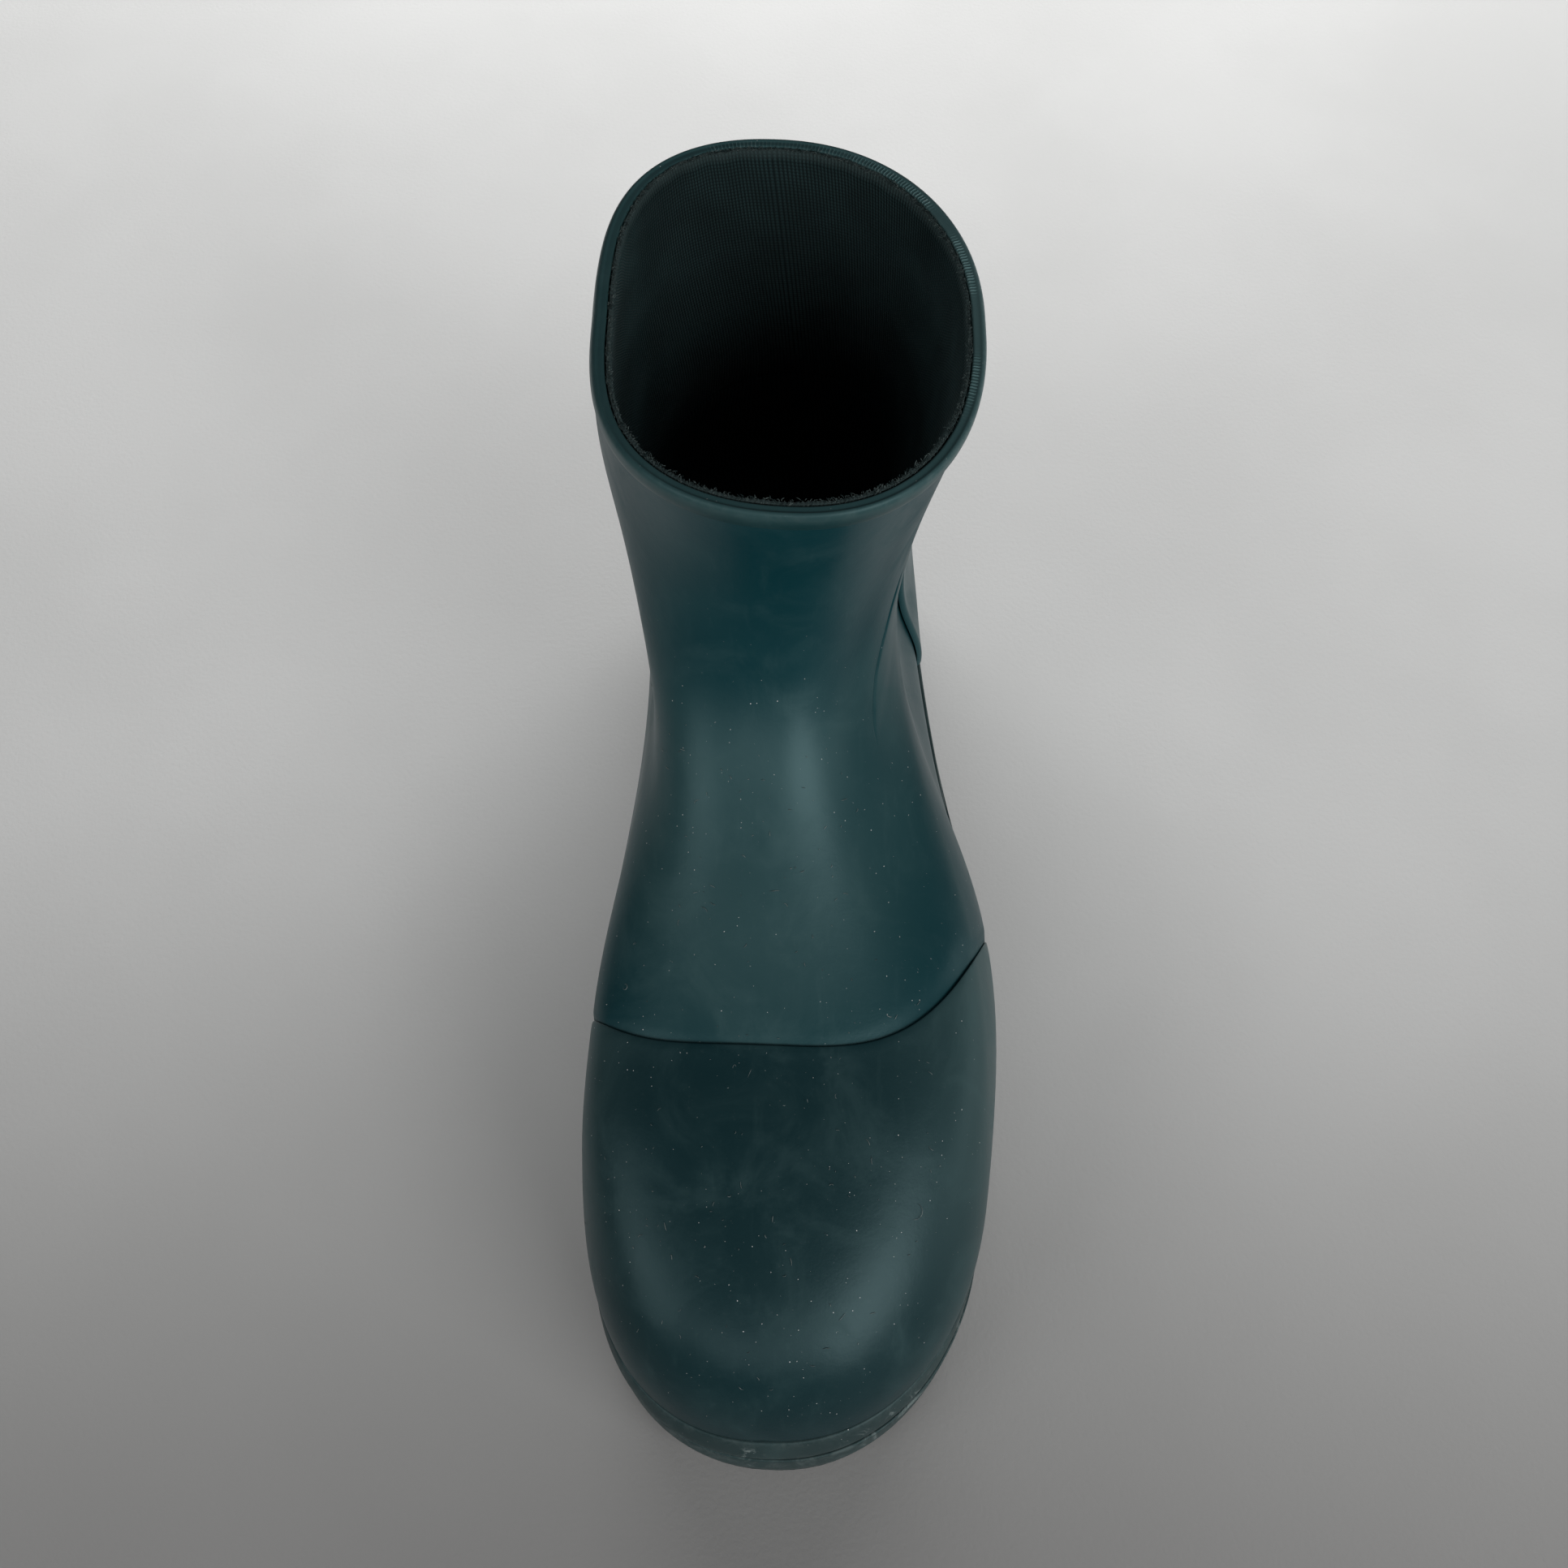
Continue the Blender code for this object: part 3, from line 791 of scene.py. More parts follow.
    def scuffed(self, graph: Graph, colour: bpy.types.NodeSocket,
                rough: bpy.types.NodeSocket) -> tuple[bpy.types.NodeSocket, bpy.types.NodeSocket]:
        """Adds pale scuffs where the mesh is marked as worn, broken up by streaky noise.

        Args:
            graph: The material's graph.
            colour: The colour so far.
            rough: The roughness so far.

        Returns:
            The colour and the roughness with scuffs.
        """
        streaks = graph.noise(170, 5, 0.72, 1.4)
        wear = graph.math("MULTIPLY", graph.mark("wear"), graph.span(streaks, 0.40, 0.66))
        patch = graph.math("MULTIPLY", graph.mark("scuff"), graph.span(streaks, 0.53, 0.62))
        share = graph.math("MAXIMUM", graph.math("MULTIPLY", wear, 0.25), patch)
        share = graph.math("MULTIPLY", share, self.scuffs)
        return (graph.mix(share, colour, self.scuff_colour),
                graph.math("ADD", rough, graph.math("MULTIPLY", share, 0.25)))


@dataclass(frozen=True)
class KnitFinish:
    """Rib knit: wales along the UV's first number and stitches along its second, each stitch
    a slanted bar on either side of the wale, with fuzz. The colour goes from the valley to the
    crown colour with the stitch's height, as painted shade in the hollows."""

    name: str
    valley: Colour = (0.0022, 0.0066, 0.0072)
    crown: Colour = (0.0230, 0.0520, 0.0540)
    fuzz: Colour = (0.058, 0.088, 0.088)

    def material(self) -> bpy.types.Material:
        """Builds the material.

        Returns:
            The finished material.
        """
        graph = Graph(self.name)
        axes = graph.node("SeparateXYZ", {"Vector": graph.uv})
        across = graph.math("ABSOLUTE", graph.math("SINE", graph.math(
            "MULTIPLY", axes.outputs[0], math.pi)))
        lean = graph.math("PINGPONG", axes.outputs[0], 0.5)
        climb = graph.math("ADD", axes.outputs[1], graph.math("MULTIPLY", lean, 0.9))
        stitch = graph.math("ABSOLUTE", graph.math("SINE", graph.math("MULTIPLY", climb, math.pi)))
        height = graph.math("MULTIPLY", across, graph.span(stitch, 0.0, 0.9, 0.35, 1.0))
        drift = graph.span(graph.noise(60, 3), 0.3, 0.7, 0.55, 1.0)
        # Painted shade: the hollows between stitches are coloured darker than the crowns.
        colour = graph.mix(graph.math("MULTIPLY", height, drift), self.valley, self.crown)
        lint = graph.span(graph.noise(1400, 4, 0.75, 0.6), 0.62, 0.80, 0, 0.45)
        lint = graph.math("MAXIMUM", lint, graph.math("MULTIPLY", graph.mark("cut"), 0.8))
        colour = graph.mix(lint, colour, self.fuzz)
        relief = graph.bump(height, 0.00018)
        relief = graph.bump(graph.noise(2600, 3, 0.7), 0.00006, 1.0, relief)
        graph.set(Base_Color=colour, Roughness=0.94, Normal=relief, Specular_IOR_Level=0.15,
                  Sheen_Weight=0.12, Sheen_Roughness=0.5, Sheen_Tint=(0.6, 0.75, 0.75))
        return graph.material


@dataclass(frozen=True)
class CellFinish:
    """Foam or sponge: open cells as dark pits in a mottled body; the pits' dark colour is painted
    shade.
    """

    name: str
    body: Colour
    painted_pit_shade: Colour
    cells: float

    def material(self) -> bpy.types.Material:
        """Builds the material.

        Returns:
            The finished material.
        """
        graph = Graph(self.name)
        cells = graph.node("TexVoronoi", {"Vector": graph.place, "Scale": self.cells})
        painted_pit_shade = graph.span(cells.outputs["Distance"], 0.15, 0.55)
        mottle = graph.span(graph.noise(self.cells / 9, 4), 0.35, 0.7, 0.6, 1.0)
        # Painted shade: the pits are coloured darker than the body.
        colour = graph.mix(graph.math("MULTIPLY", painted_pit_shade, mottle), self.painted_pit_shade, self.body)
        graph.set(Base_Color=colour, Roughness=0.92, Specular_IOR_Level=0.25,
                  Normal=graph.bump(painted_pit_shade, 0.0002))
        return graph.material


@dataclass(frozen=True)
class BoardFinish:
    """Pressed fibre board: short fibres lying every way over a warm body."""

    name: str
    body: Colour = (0.34, 0.27, 0.19)
    fibre: Colour = (0.50, 0.42, 0.32)

    def material(self) -> bpy.types.Material:
        """Builds the material.

        Returns:
            The finished material.
        """
        graph = Graph(self.name)
        one_way = graph.noise(500, 4, 0.7, 0.5, graph.stretched((1.0, 0.12, 1.0)))
        other_way = graph.noise(500, 4, 0.7, 0.5, graph.stretched((0.12, 1.0, 1.0)))
        fibres = graph.span(graph.math("MAXIMUM", one_way, other_way), 0.48, 0.75)
        stain = graph.span(graph.noise(25, 3), 0.3, 0.75, 0.7, 1.0)
        colour = graph.mix(graph.math("MULTIPLY", fibres, stain), self.body, self.fibre)
        graph.set(Base_Color=colour, Roughness=0.88, Specular_IOR_Level=0.2,
                  Normal=graph.bump(fibres, 0.00008))
        return graph.material


@dataclass(frozen=True)
class SteelFinish:
    """Rolled strip steel: fine lines along its length, with a little tarnish."""

    name: str
    bright: Colour = (0.58, 0.58, 0.56)
    tarnish: Colour = (0.30, 0.27, 0.24)

    def material(self) -> bpy.types.Material:
        """Builds the material.

        Returns:
            The finished material.
        """
        graph = Graph(self.name)
        lines = graph.noise(900, 3, 0.6, 0.0, graph.stretched((1.0, 0.03, 1.0)))
        spots = graph.span(graph.noise(70, 5, 0.6), 0.5, 0.75, 0.0, 0.7)
        graph.set(Base_Color=graph.mix(spots, self.bright, self.tarnish), Metallic=1.0,
                  Roughness=graph.span(lines, 0.3, 0.7, 0.26, 0.46),
                  Normal=graph.bump(lines, 0.00001))
        return graph.material


@dataclass(frozen=True)
class ThreadFinish:
    """Loose cotton: a dull pale thread whose shade changes along it."""

    name: str
    dim: Colour
    pale: Colour

    def material(self) -> bpy.types.Material:
        """Builds the material.

        Returns:
            The finished material.
        """
        graph = Graph(self.name)
        shade = graph.span(graph.noise(700, 2), 0.35, 0.65)
        graph.set(Base_Color=graph.mix(shade, self.dim, self.pale), Roughness=0.9,
                  Specular_IOR_Level=0.2, Normal=graph.bump(graph.noise(4000, 2), 0.00002))
        return graph.material


# ---------------------------------------------------------------- the upper


@dataclass(frozen=True)
class Overlay:
    """A sheet of rubber laid on the upper, from the sole up to a free edge that is rolled
    down to the upper as a quarter circle. It thickens slowly over the swell's length, bulges
    at one turn, and its pale mark grows towards its sides, as a painted highlight there."""

    last: Last
    edge: Edge
    middle_turn: float
    turn_reach: float
    level_reach: float
    thickness: float
    base_level: float = 0.055
    roll: float = 2.2
    swell: float = 24.0
    step: float = 0.2
    lip: float = 0.1
    rays: int = 420
    base_roll: float = 0.008
    bulge: float = 0.0
    bulge_turn: float = math.radians(118)
    bulge_reach: float = math.radians(24)
    unevenness: float = 0.10
    bloom_and_highlight_share: float = 1.0
    side_highlight_degrees: tuple[float, float] = (22.0, 64.0)
    edge_band: float = 5.0
    edge_rings: int = 18
    middle_rings: int = 44
    halvings: int = 26

    def fan(self) -> tuple[Array, Array]:
        """Turn and level on a fan: rays leave the middle of the bottom line at even angles,
        and each one is halved again and again until it ends on the edge. The rings across
        the rays are close together near the edge.

        Returns:
            Turn and level, rings by rays.
        """
        angle = np.linspace(0, math.pi, self.rays)
        turn_way = -np.cos(angle) * self.turn_reach
        level_way = np.sin(angle) * self.level_reach
        low, high = np.zeros(self.rays), np.ones(self.rays)
        for _ in range(self.halvings):
            middle = (low + high) / 2
            turn = self.middle_turn + turn_way * middle
            level = self.base_level + level_way * middle
            within = self.edge.inside(self.last.outside(turn, level)) > 0
            low, high = np.where(within, middle, low), np.where(within, high, middle)
        start = self.last.outside(self.middle_turn, self.base_level)
        turn, level = self.middle_turn + turn_way * low, self.base_level + level_way * low
        end = self.last.outside(turn, level)
        length = np.linalg.norm(end - start, axis=-1)
        near = self.edge_band * (1 - np.linspace(0, 1, self.edge_rings)) ** 1.5
        coarse = np.linspace(0, 1, self.middle_rings)[:-1, None] * (1 - near[0] / length)
        share = np.concatenate([coarse, 1 - near[:, None] / length]) * low
        return self.middle_turn + turn_way * share, self.base_level + level_way * share

    def body(self) -> Body:
        """The sheet between its outer skin, rolled at the edge and at the foot, and its flat
        inner skin.

        Returns:
            The closed sheet.
        """
        turn, level = self.fan()
        depth = self.edge.inside(self.last.outside(turn, level))
        rolled = self.step * quarter_round(depth / self.roll)
        rolled += (1 - self.step) * smooth_step(depth, 0, self.swell)
        rolled = rolled * quarter_round((level - self.base_level) / self.base_roll + 0.25)
        out = GAP + self.lip + (self.thickness - self.lip) * rolled
        out = out + self.unevenness * ripple(turn, level, 5) * rolled
        out = out + self.bulge * bell(turn, self.bulge_turn, self.bulge_reach) * rolled
        sheet = plate_body(self.last.moved(turn, level, out), self.last.moved(turn, level, GAP))
        # Painted highlight: the pale mark grows from the overlay's middle towards its sides.
        away = np.degrees(abs(turn - self.middle_turn))
        mist_and_painted_highlight = self.bloom_and_highlight_share * (0.05 + 1.25 * smooth_step(away, *self.side_highlight_degrees)).ravel()
        sheet.marks["mist_and_painted_highlight"] = np.concatenate([mist_and_painted_highlight, mist_and_painted_highlight])
        return sheet


@dataclass(frozen=True)
class Crease:
    """A fold line up the side of the shaft: its turn, in degrees, at a few levels."""

    levels: tuple[float, ...] = (0.555, 0.585, 0.605, 0.635, 0.652, 0.668, 0.700, 0.760)
    turns: tuple[float, ...] = (54.0, 53.0, 52.8, 54.4, 57.0, 60.0, 62.5, 67.0)
    depth: float = 0.42
    width: float = 0.24
    step: float = 0.32
    fades: tuple[float, float, float, float] = (0.562, 0.600, 0.690, 0.735)
    step_onset: float = 0.4
    step_reach: float = 9.0
    millimetres_a_degree: float = 0.55

    def relief(self, turn: Array, level: Array) -> Array:
        """How far the surface moves out: a narrow bell-shaped groove along the line, and a
        soft step behind it that stands proud.

        Args:
            turn: Angles round the ring.
            level: Heights from 0 to 1.

        Returns:
            Millimetres out.
        """
        line = np.interp(level, self.levels, self.turns)
        across = (np.degrees(turn) - line) * self.millimetres_a_degree
        a, b, c, d = self.fades
        strength = smooth_step(level, a, b) * (1 - smooth_step(level, c, d))
        behind = 1 - np.exp(-np.clip(across, 0, None) / self.step_onset)
        behind = behind * bell(across, 0, self.step_reach)
        groove = self.depth * bell(across, 0, self.width)
        return strength * (self.step * behind * (across > 0) - groove)


@dataclass
class Upper:
    """The moulded upper and its two overlays. Levels and degrees in pairs are where a smooth
    step starts and ends; other pairs are a size on the inner side and on the outer side."""

    last: Last
    finish: bpy.types.Material
    # The toe cap's finish, a darker copy of the upper's rubber as painted shade.
    overlay: bpy.types.Material
    cap_edge: CapEdge = field(default_factory=CapEdge)
    counter_edge: CounterEdge = field(default_factory=CounterEdge)
    crease: Crease = field(default_factory=Crease)
    rubber: float = 2.4
    cap: float = 1.7
    counter: float = 1.3
    valley: tuple[float, float] = (0.28, 0.38)
    valley_reach: tuple[float, float] = (1.3, 3.2)
    valley_degrees: tuple[float, float] = (12.0, 48.0)
    outer_end: tuple[float, float] = (54.0, 66.0)
    inner_end: tuple[float, float] = (34.0, 44.0)
    under_cap: float = 8.0
    swell: tuple[float, float] = (0.15, 0.62)
    swell_degrees: tuple[float, float] = (32.0, 58.0)
    swell_reach: float = 26.0
    counter_valley: float = 0.25
    under_counter: float = 6.0
    unevenness: float = 0.12
    # Where the pale painted highlight on the vamp and the instep starts, thins and ends.
    mist_and_highlight_starts: tuple[float, float] = (0.37, 0.52)
    mist_and_highlight_thins: tuple[float, float] = (0.48, 0.58)
    mist_and_highlight_ends: tuple[float, float] = (0.62, 0.74)
    dull_starts: tuple[float, float] = (0.34, 0.50)
    dull_sines: tuple[float, float] = (0.35, 0.75)
    fold_turn: float = math.radians(56)
    fold_reach: float = math.radians(7)
    top_level: float = 0.972
    rows: int = 225
    inner_rows: int = 24
    columns: int = 400

    def shell_relief(self, turn: Array, level: Array) -> Array:
        """How far the outer skin moves from the plain loft: a valley along each overlay's
        edge, a swell behind the cap's, the fold on the shaft, and a faint ripple as from a
        hand-built sheet.

        Args:
            turn: Angles round the ring.
            level: Heights from 0 to 1.

        Returns:
            Millimetres out.
        """
        points = self.last.outside(turn, level)
        relief = self.unevenness * ripple(turn, level, 3)
        ahead = self.cap_edge.inside(points)
        degrees = np.degrees((turn + math.pi) % FULL_TURN - math.pi)
        outer = smooth_step(degrees, *self.valley_degrees)
        depth = self.valley[0] + (self.valley[1] - self.valley[0]) * outer
        reach = self.valley_reach[0] + (self.valley_reach[1] - self.valley_reach[0]) * outer
        away = np.clip(-ahead, 0, None)
        ends = smooth_step(degrees, *self.outer_end) + smooth_step(-degrees, *self.inner_end)
        valley = depth * (1 - 0.85 * ends) * np.exp(-((away / reach) ** 2))
        relief -= valley * (ahead < self.under_cap)
        side = smooth_step(abs(degrees), *self.swell_degrees)
        swell = self.swell[0] + (self.swell[1] - self.swell[0]) * side
        onset = 5.0 - 3.8 * ends
        relief += swell * (1 - np.exp(-((away / onset) ** 2))) * bell(away, 0, self.swell_reach)
        behind = self.counter_edge.inside(points)
        valley = self.counter_valley * bell(np.minimum(behind, 0), 0, 1.0)
        relief -= valley * (behind < self.under_counter)
        return relief + self.crease.relief(turn, level)

    def shell_marks(self, turn: Array, level: Array) -> dict[str, Array]:
        """Where the outer skin gets the pale colour as painted highlight and thicker blooming, on
        the vamp and the instep and most in the middle, and where it is dull, on both sides above
        the foot.

        Args:
            turn: Angles round the ring.
            level: Heights from 0 to 1.

        Returns:
            A number for each point, by mark.
        """
        # Painted highlight with some real blooming: the pale mark on the vamp and the instep.
        mist_and_painted_highlight = smooth_step(level, *self.mist_and_highlight_starts) * (1 - smooth_step(level, *self.mist_and_highlight_ends))
        mist_and_painted_highlight = mist_and_painted_highlight * (1.15 - 0.3 * smooth_step(level, *self.mist_and_highlight_thins))
        mist_and_painted_highlight = mist_and_painted_highlight * (0.35 + 0.85 * bell(np.sin(turn / 2), 0.0, 0.50))
        sides = smooth_step(np.sin(turn), *self.dull_sines)
        sides = sides + 0.7 * smooth_step(-np.sin(turn), *self.dull_sines)
        return {"mist_and_painted_highlight": mist_and_painted_highlight, "dull": smooth_step(level, *self.dull_starts) * sides}

    def build_shell(self) -> None:
        """The upper's wall: a loft outside, with its columns close together at the fold and
        its rows at the cap's edge, and the same loft moved in by the rubber's thickness."""
        even = np.linspace(0, FULL_TURN, 2000)
        closeness = 1 + 5 * bell(even, self.fold_turn, self.fold_reach)
        turns = graded(0, FULL_TURN, self.columns + 1, closeness)[:-1]
        even = np.linspace(0, self.top_level, 500)
        closeness = 1 + 0.8 * bell(even, 0.36, 0.14) + 0.3 * bell(even, 0.65, 0.06)
        turn, level = np.meshgrid(turns, graded(0, self.top_level, self.rows, closeness))
        outer = self.last.moved(turn, level, self.shell_relief(turn, level))
        marks = self.shell_marks(turn, level)
        turn, level = np.meshgrid(turns, np.linspace(self.top_level, 0, self.inner_rows))
        inner = self.last.moved(turn, level, -self.rubber)
        unmarked = np.zeros(turn.shape)
        marks = {name: np.concatenate([values, unmarked]) for name, values in marks.items()}
        body = ring_body(np.concatenate([outer, inner]), marks=marks)
        add_piece("upper_wall", body, self.finish, "upper_shell")

    def build_overlays(self) -> None:
        """The toe cap and the heel counter."""
        cap = Overlay(self.last, self.cap_edge, 0.0, math.radians(110), 0.60, self.cap)
        add_piece("toe_cap_skin", cap.body(), self.overlay, "toe_cap", welds=True)
        counter = Overlay(self.last, self.counter_edge, math.pi, math.radians(115), 0.90,
                          self.counter, roll=1.4, step=0.7, bulge=1.0, bloom_and_highlight_share=0.3)
        add_piece("heel_counter_skin", counter.body(), self.finish, "heel_counter",
                  welds=True)

    def build(self) -> None:
        """Builds the wall and the overlays."""
        self.build_shell()
        self.build_overlays()


@dataclass
class Rim:
    """The rolled top edge: a rounded bead outside, a slightly lower land inside it, and fine
    cross ribs on the land along the outer and back stretch, as a knurled roller leaves them.

    Each corner of the section is a level and a distance out, in millimetres."""

    last: Last
    finish: bpy.types.Material
    corners: tuple[tuple[float, float], ...] = (
        (0.9737, 0.7), (0.9850, 1.05), (0.9970, 0.75), (1.0, -0.3),
        (0.9972, -0.8), (0.9970, -2.2), (0.9920, -2.45), (0.9737, -2.42),
    )
    radii: tuple[float, ...] = (0.2, 1.3, 1.0, 0.5, 0.3, 0.4, 0.5, 0.2)
    corner_steps: int = 5
    bead_corner: int = 3
    bead_middle: int = 12
    ribs_start: tuple[float, float] = (0.95, 1.15)
    ribs_end: tuple[float, float] = (3.35, 3.6)
    rib_pitch: float = 0.95
    rib_lift: float = 0.30
    unevenness: float = 0.10
    columns: int = 1300

    def ribbed(self, turn: Array) -> Array:
        """1 along the stretch that has ribs and 0 elsewhere."""
        return smooth_step(turn, *self.ribs_start) * (1 - smooth_step(turn, *self.ribs_end))

    def ribs(self, turns: Array, bead: Array, rows: int) -> Array:
        """The cross ribs: the fifth power of a cosine along the bead's length, on the land
        only, and missing here and there.

        Args:
            turns: The columns.
            bead: The bead's corner at each column.
            rows: Points on the section.

        Returns:
            How much of a rib there is at each point, section points by columns.
        """
        along = np.cumsum(np.linalg.norm(np.diff(bead, axis=0, append=bead[:1]), axis=1))
        rib = np.clip(np.cos(FULL_TURN * along / self.rib_pitch), 0, 1) ** 5
        bunch = smooth_step(ripple(turns * 3, turns * 0, 11), -0.5, 0.3)
        row = np.arange(rows)
        on_land = smooth_step(row, 19, 22) * (1 - smooth_step(row, 28, 31))
        return on_land[:, None] * (rib * bunch * self.ribbed(turns))[None]

    def build(self) -> None:
        """Builds the rim, with a painted highlight on the outer side: paler rubber and more of the
        pale wear there.
        """
        even = np.linspace(0, FULL_TURN, 4000)
        turns = graded(0, FULL_TURN, self.columns, 1 + 3.2 * self.ribbed(even))[:-1]
        sections = np.stack([self.last.moved(turns, np.full_like(turns, level), out)
                             for level, out in self.corners])
        section = rounded_section(sections, self.radii, self.corner_steps)
        row = np.arange(len(section))
        ribs = self.ribs(turns, sections[self.bead_corner], len(section))
        up = np.array((0.0, 0.0, 1.0))
        section = section + (self.rib_lift * ribs)[..., None] * up
        wobble = self.unevenness * ripple(turns, turns * 0, 17)[None, :, None] * up
        # Painted highlight: worn and pale peak on the outer side, on top of the real wear along the
        # bead.
        worn = 0.25 + 0.9 * bell(turns, math.radians(95), math.radians(50))
        pale = 0.35 + 0.95 * bell(turns, math.radians(98), math.radians(42))
        marks = {
            "wear": bell(row, self.bead_middle, 4.5)[:, None] * worn,
            "scuff": 0.8 * ribs,
            "mist_and_painted_highlight": smooth_step(row, 6, 11)[:, None] * pale + 1.6 * ribs,
        }
        body = ring_body(section + wobble, marks=marks)
        add_piece("rim", body, self.finish, "rim_band")


# ---------------------------------------------------------------- the sole


@dataclass
class Sole:
    """The foxing that goes round the foot, the bumper strip above it, and the tread and heel
    layers.
    """

    last: Last
    trim: bpy.types.Material
    tread: bpy.types.Material
    flange: float = 4.3
    flange_outer: float = 1.0
    slab: float = 8.0
    heel_rise: float = 16.0
    ramp: tuple[float, float] = (-25.0, 48.0)
    spring_start: float = -110.0
    spring_length: float = 50.0
    spring_height: float = 7.0
    top_piece: float = 6.0
    heel_turn: float = math.radians(117)
    groove_depth: float = 3.5
    groove_width: float = 5.0
    groove_pitch: float = 13.0
    waist: tuple[float, float, float] = (2.5, 88.0, 9.0)
    heel_side: tuple[float, float, float] = (2.3, 122.0, 20.0)
    ledge_level: float = 0.019
    line_depth: float = 0.35
    forepart_grooves: tuple[float, float] = (-137.0, -30.0)
    heel_grooves: tuple[float, float] = (68.0, 135.0)
    groove_side: float = 0.35
    slab_inset: float = 0.6
    heel_inset: float = 1.2
    columns: int = 900
    lengthwise: int = 150
    across: int = 30

    def push(self, turn: Array, inset: float = 0.0) -> Array:
        """How far the sole stands out from the feather line: more on the outer side, most at
        its waist, and least beside the heel.

        Args:
            turn: Angles round the ring.
            inset: How far inside the sole's edge.

        Returns:
            Millimetres out.
        """
        degrees = np.degrees((turn + math.pi) % FULL_TURN - math.pi)
        (more, waist, waist_reach), (less, heel, heel_reach) = self.waist, self.heel_side
        side = more * bell(degrees, waist, waist_reach) - less * bell(degrees, heel, heel_reach)
        return self.flange + self.flange_outer * np.sin(turn) + side - inset

    def underside(self, y: Array) -> Array:
        """Height of the slab's underside: a parabola up at the toe, flat under the ball, and
        a smooth ramp up to the heel."""
        spring = np.clip((self.spring_start - y) / self.spring_length, 0, None) ** 2
        return self.spring_height * spring + self.heel_rise * smooth_step(y, *self.ramp)

    def turns(self) -> Array:
        """Even columns all the way round."""
        return np.arange(self.columns) * FULL_TURN / self.columns

    def scuff_marks(self, turn: Array, rows: int) -> Array:
        """Patches of heavier scuffing at the tip of the toe and on the outer toe: bells
        round a place in degrees, with a reach and a weight.

        Args:
            turn: The columns.
            rows: Points on the section.

        Returns:
            How scuffed each point is, section points by columns.
        """
        places = ((-2.0, 1.2, 1.0), (22.0, 7.0, 0.8), (40.0, 5.0, 0.55), (-28.0, 9.0, 0.3))
        degrees = (np.degrees(turn) + 180) % 360 - 180
        total = sum(weight * bell(degrees, place, reach) for place, reach, weight in places)
        return np.broadcast_to(total, (rows, len(turn)))

    def build_foxing(self) -> None:
        """The sidewall band: from the slab up to a ledge, with a rounded lip, two fine lines
        pressed into its side, and worn edges."""
        turn = self.turns()
        foot = self.last.sideways(turn, 0)
        slab_top = self.underside(foot[:, 1]) + self.slab + GAP

        def side(share: float, out: Array | float) -> Array:
            """A place on the sidewall.

            Args:
                share: 0 at the slab and 1 at the feather line.
                out: How far out, in millimetres.

            Returns:
                The place at each column.
            """
            place = self.last.sideways(turn, out)
            place[:, 2] = slab_top + (place[:, 2] - slab_top) * share
            return place

        ledge = np.full_like(turn, self.ledge_level)
        full = self.push(turn)
        line = self.line_depth
        corners = np.stack([
            side(0.0, full - 0.8), side(0.30, full - 0.35), side(0.34, full - 0.35 - line),
            side(0.40, full - 0.35 - line), side(0.44, full - 0.15), side(0.93, full),
            self.last.moved(turn, ledge, full - 0.45), self.last.moved(turn, ledge, full - 1.35),
            self.last.moved(turn, ledge - 0.004, 2.6), self.last.moved(turn, ledge, GAP),
            side(1.0, GAP), side(0.0, GAP),
        ])
        radii = (0.5, 0.3, 0.15, 0.15, 0.3, 0.9, 0.7, 0.5, 0.4, 0.2, 0.2, 0.2)
        section = rounded_section(corners, radii, 6)
        row = np.arange(len(section))
        section = section + 0.06 * ripple(turn * 2, turn * 0, 23)[None, :, None]
        wear = np.maximum(bell(row, 38, 4.5), 0.5 * bell(row, 27, 3))[:, None] * np.ones(len(turn))
        scuff = self.scuff_marks(turn, len(row)) * bell(row, 38, 7)[:, None]
        marks = {"wear": wear, "scuff": scuff}
        add_piece("foxing", ring_body(section, marks=marks), self.trim, "foxing_band")

    def build_bumper(self) -> None:
        """The strip above the foxing: its face leans out from the overlays down to the ledge
        and bulges a little."""
        turn = self.turns()

        def at(level: float, out: Array | float) -> Array:
            """A place on the strip."""
            return self.last.moved(turn, np.full_like(turn, level), out)

        slim = 1 - 0.3 * bell(np.degrees(turn), 118, 20)
        corners = np.stack([at(0.0215, 2.9 * slim), at(0.0235, 3.75 * slim),
                            at(0.034, 3.45 * slim), at(0.0485, 2.6 * slim),
                            at(0.0535, 2.05 * slim), at(0.0535, GAP), at(0.0215, GAP)])
        section = rounded_section(corners, (0.3, 0.7, 1.6, 1.6, 0.5, 0.2, 0.2), 6)
        section = section + 0.05 * ripple(turn * 2, turn * 0, 29)[None, :, None]
        row = np.arange(len(section))
        wear = np.maximum(bell(row, 8, 3), 0.5 * bell(row, 24, 4))[:, None] * np.ones(len(turn))
        scuff = self.scuff_marks(turn, len(row)) * bell(row, 12, 7)[:, None]
        marks = {"wear": wear, "scuff": scuff}
        add_piece("bumper", ring_body(section, marks=marks), self.trim, "bumper_strip")

    def grooves(self, y: Array, first: float, last: float) -> Array:
        """How deep the tread is cut: full depth in a groove, sloping up over its sides.

        Args:
            y: Rows along the sole.
            first: The first groove's middle.
            last: Where the grooves end.

        Returns:
            The depth at each row.
        """
        half, side = self.groove_width / 2, self.groove_side
        middles = np.arange(first, last, self.groove_pitch)
        away = abs(y[:, None] - middles[None]).min(1)
        return self.groove_depth * np.clip((half + side - away) / (2 * side), 0, 1)

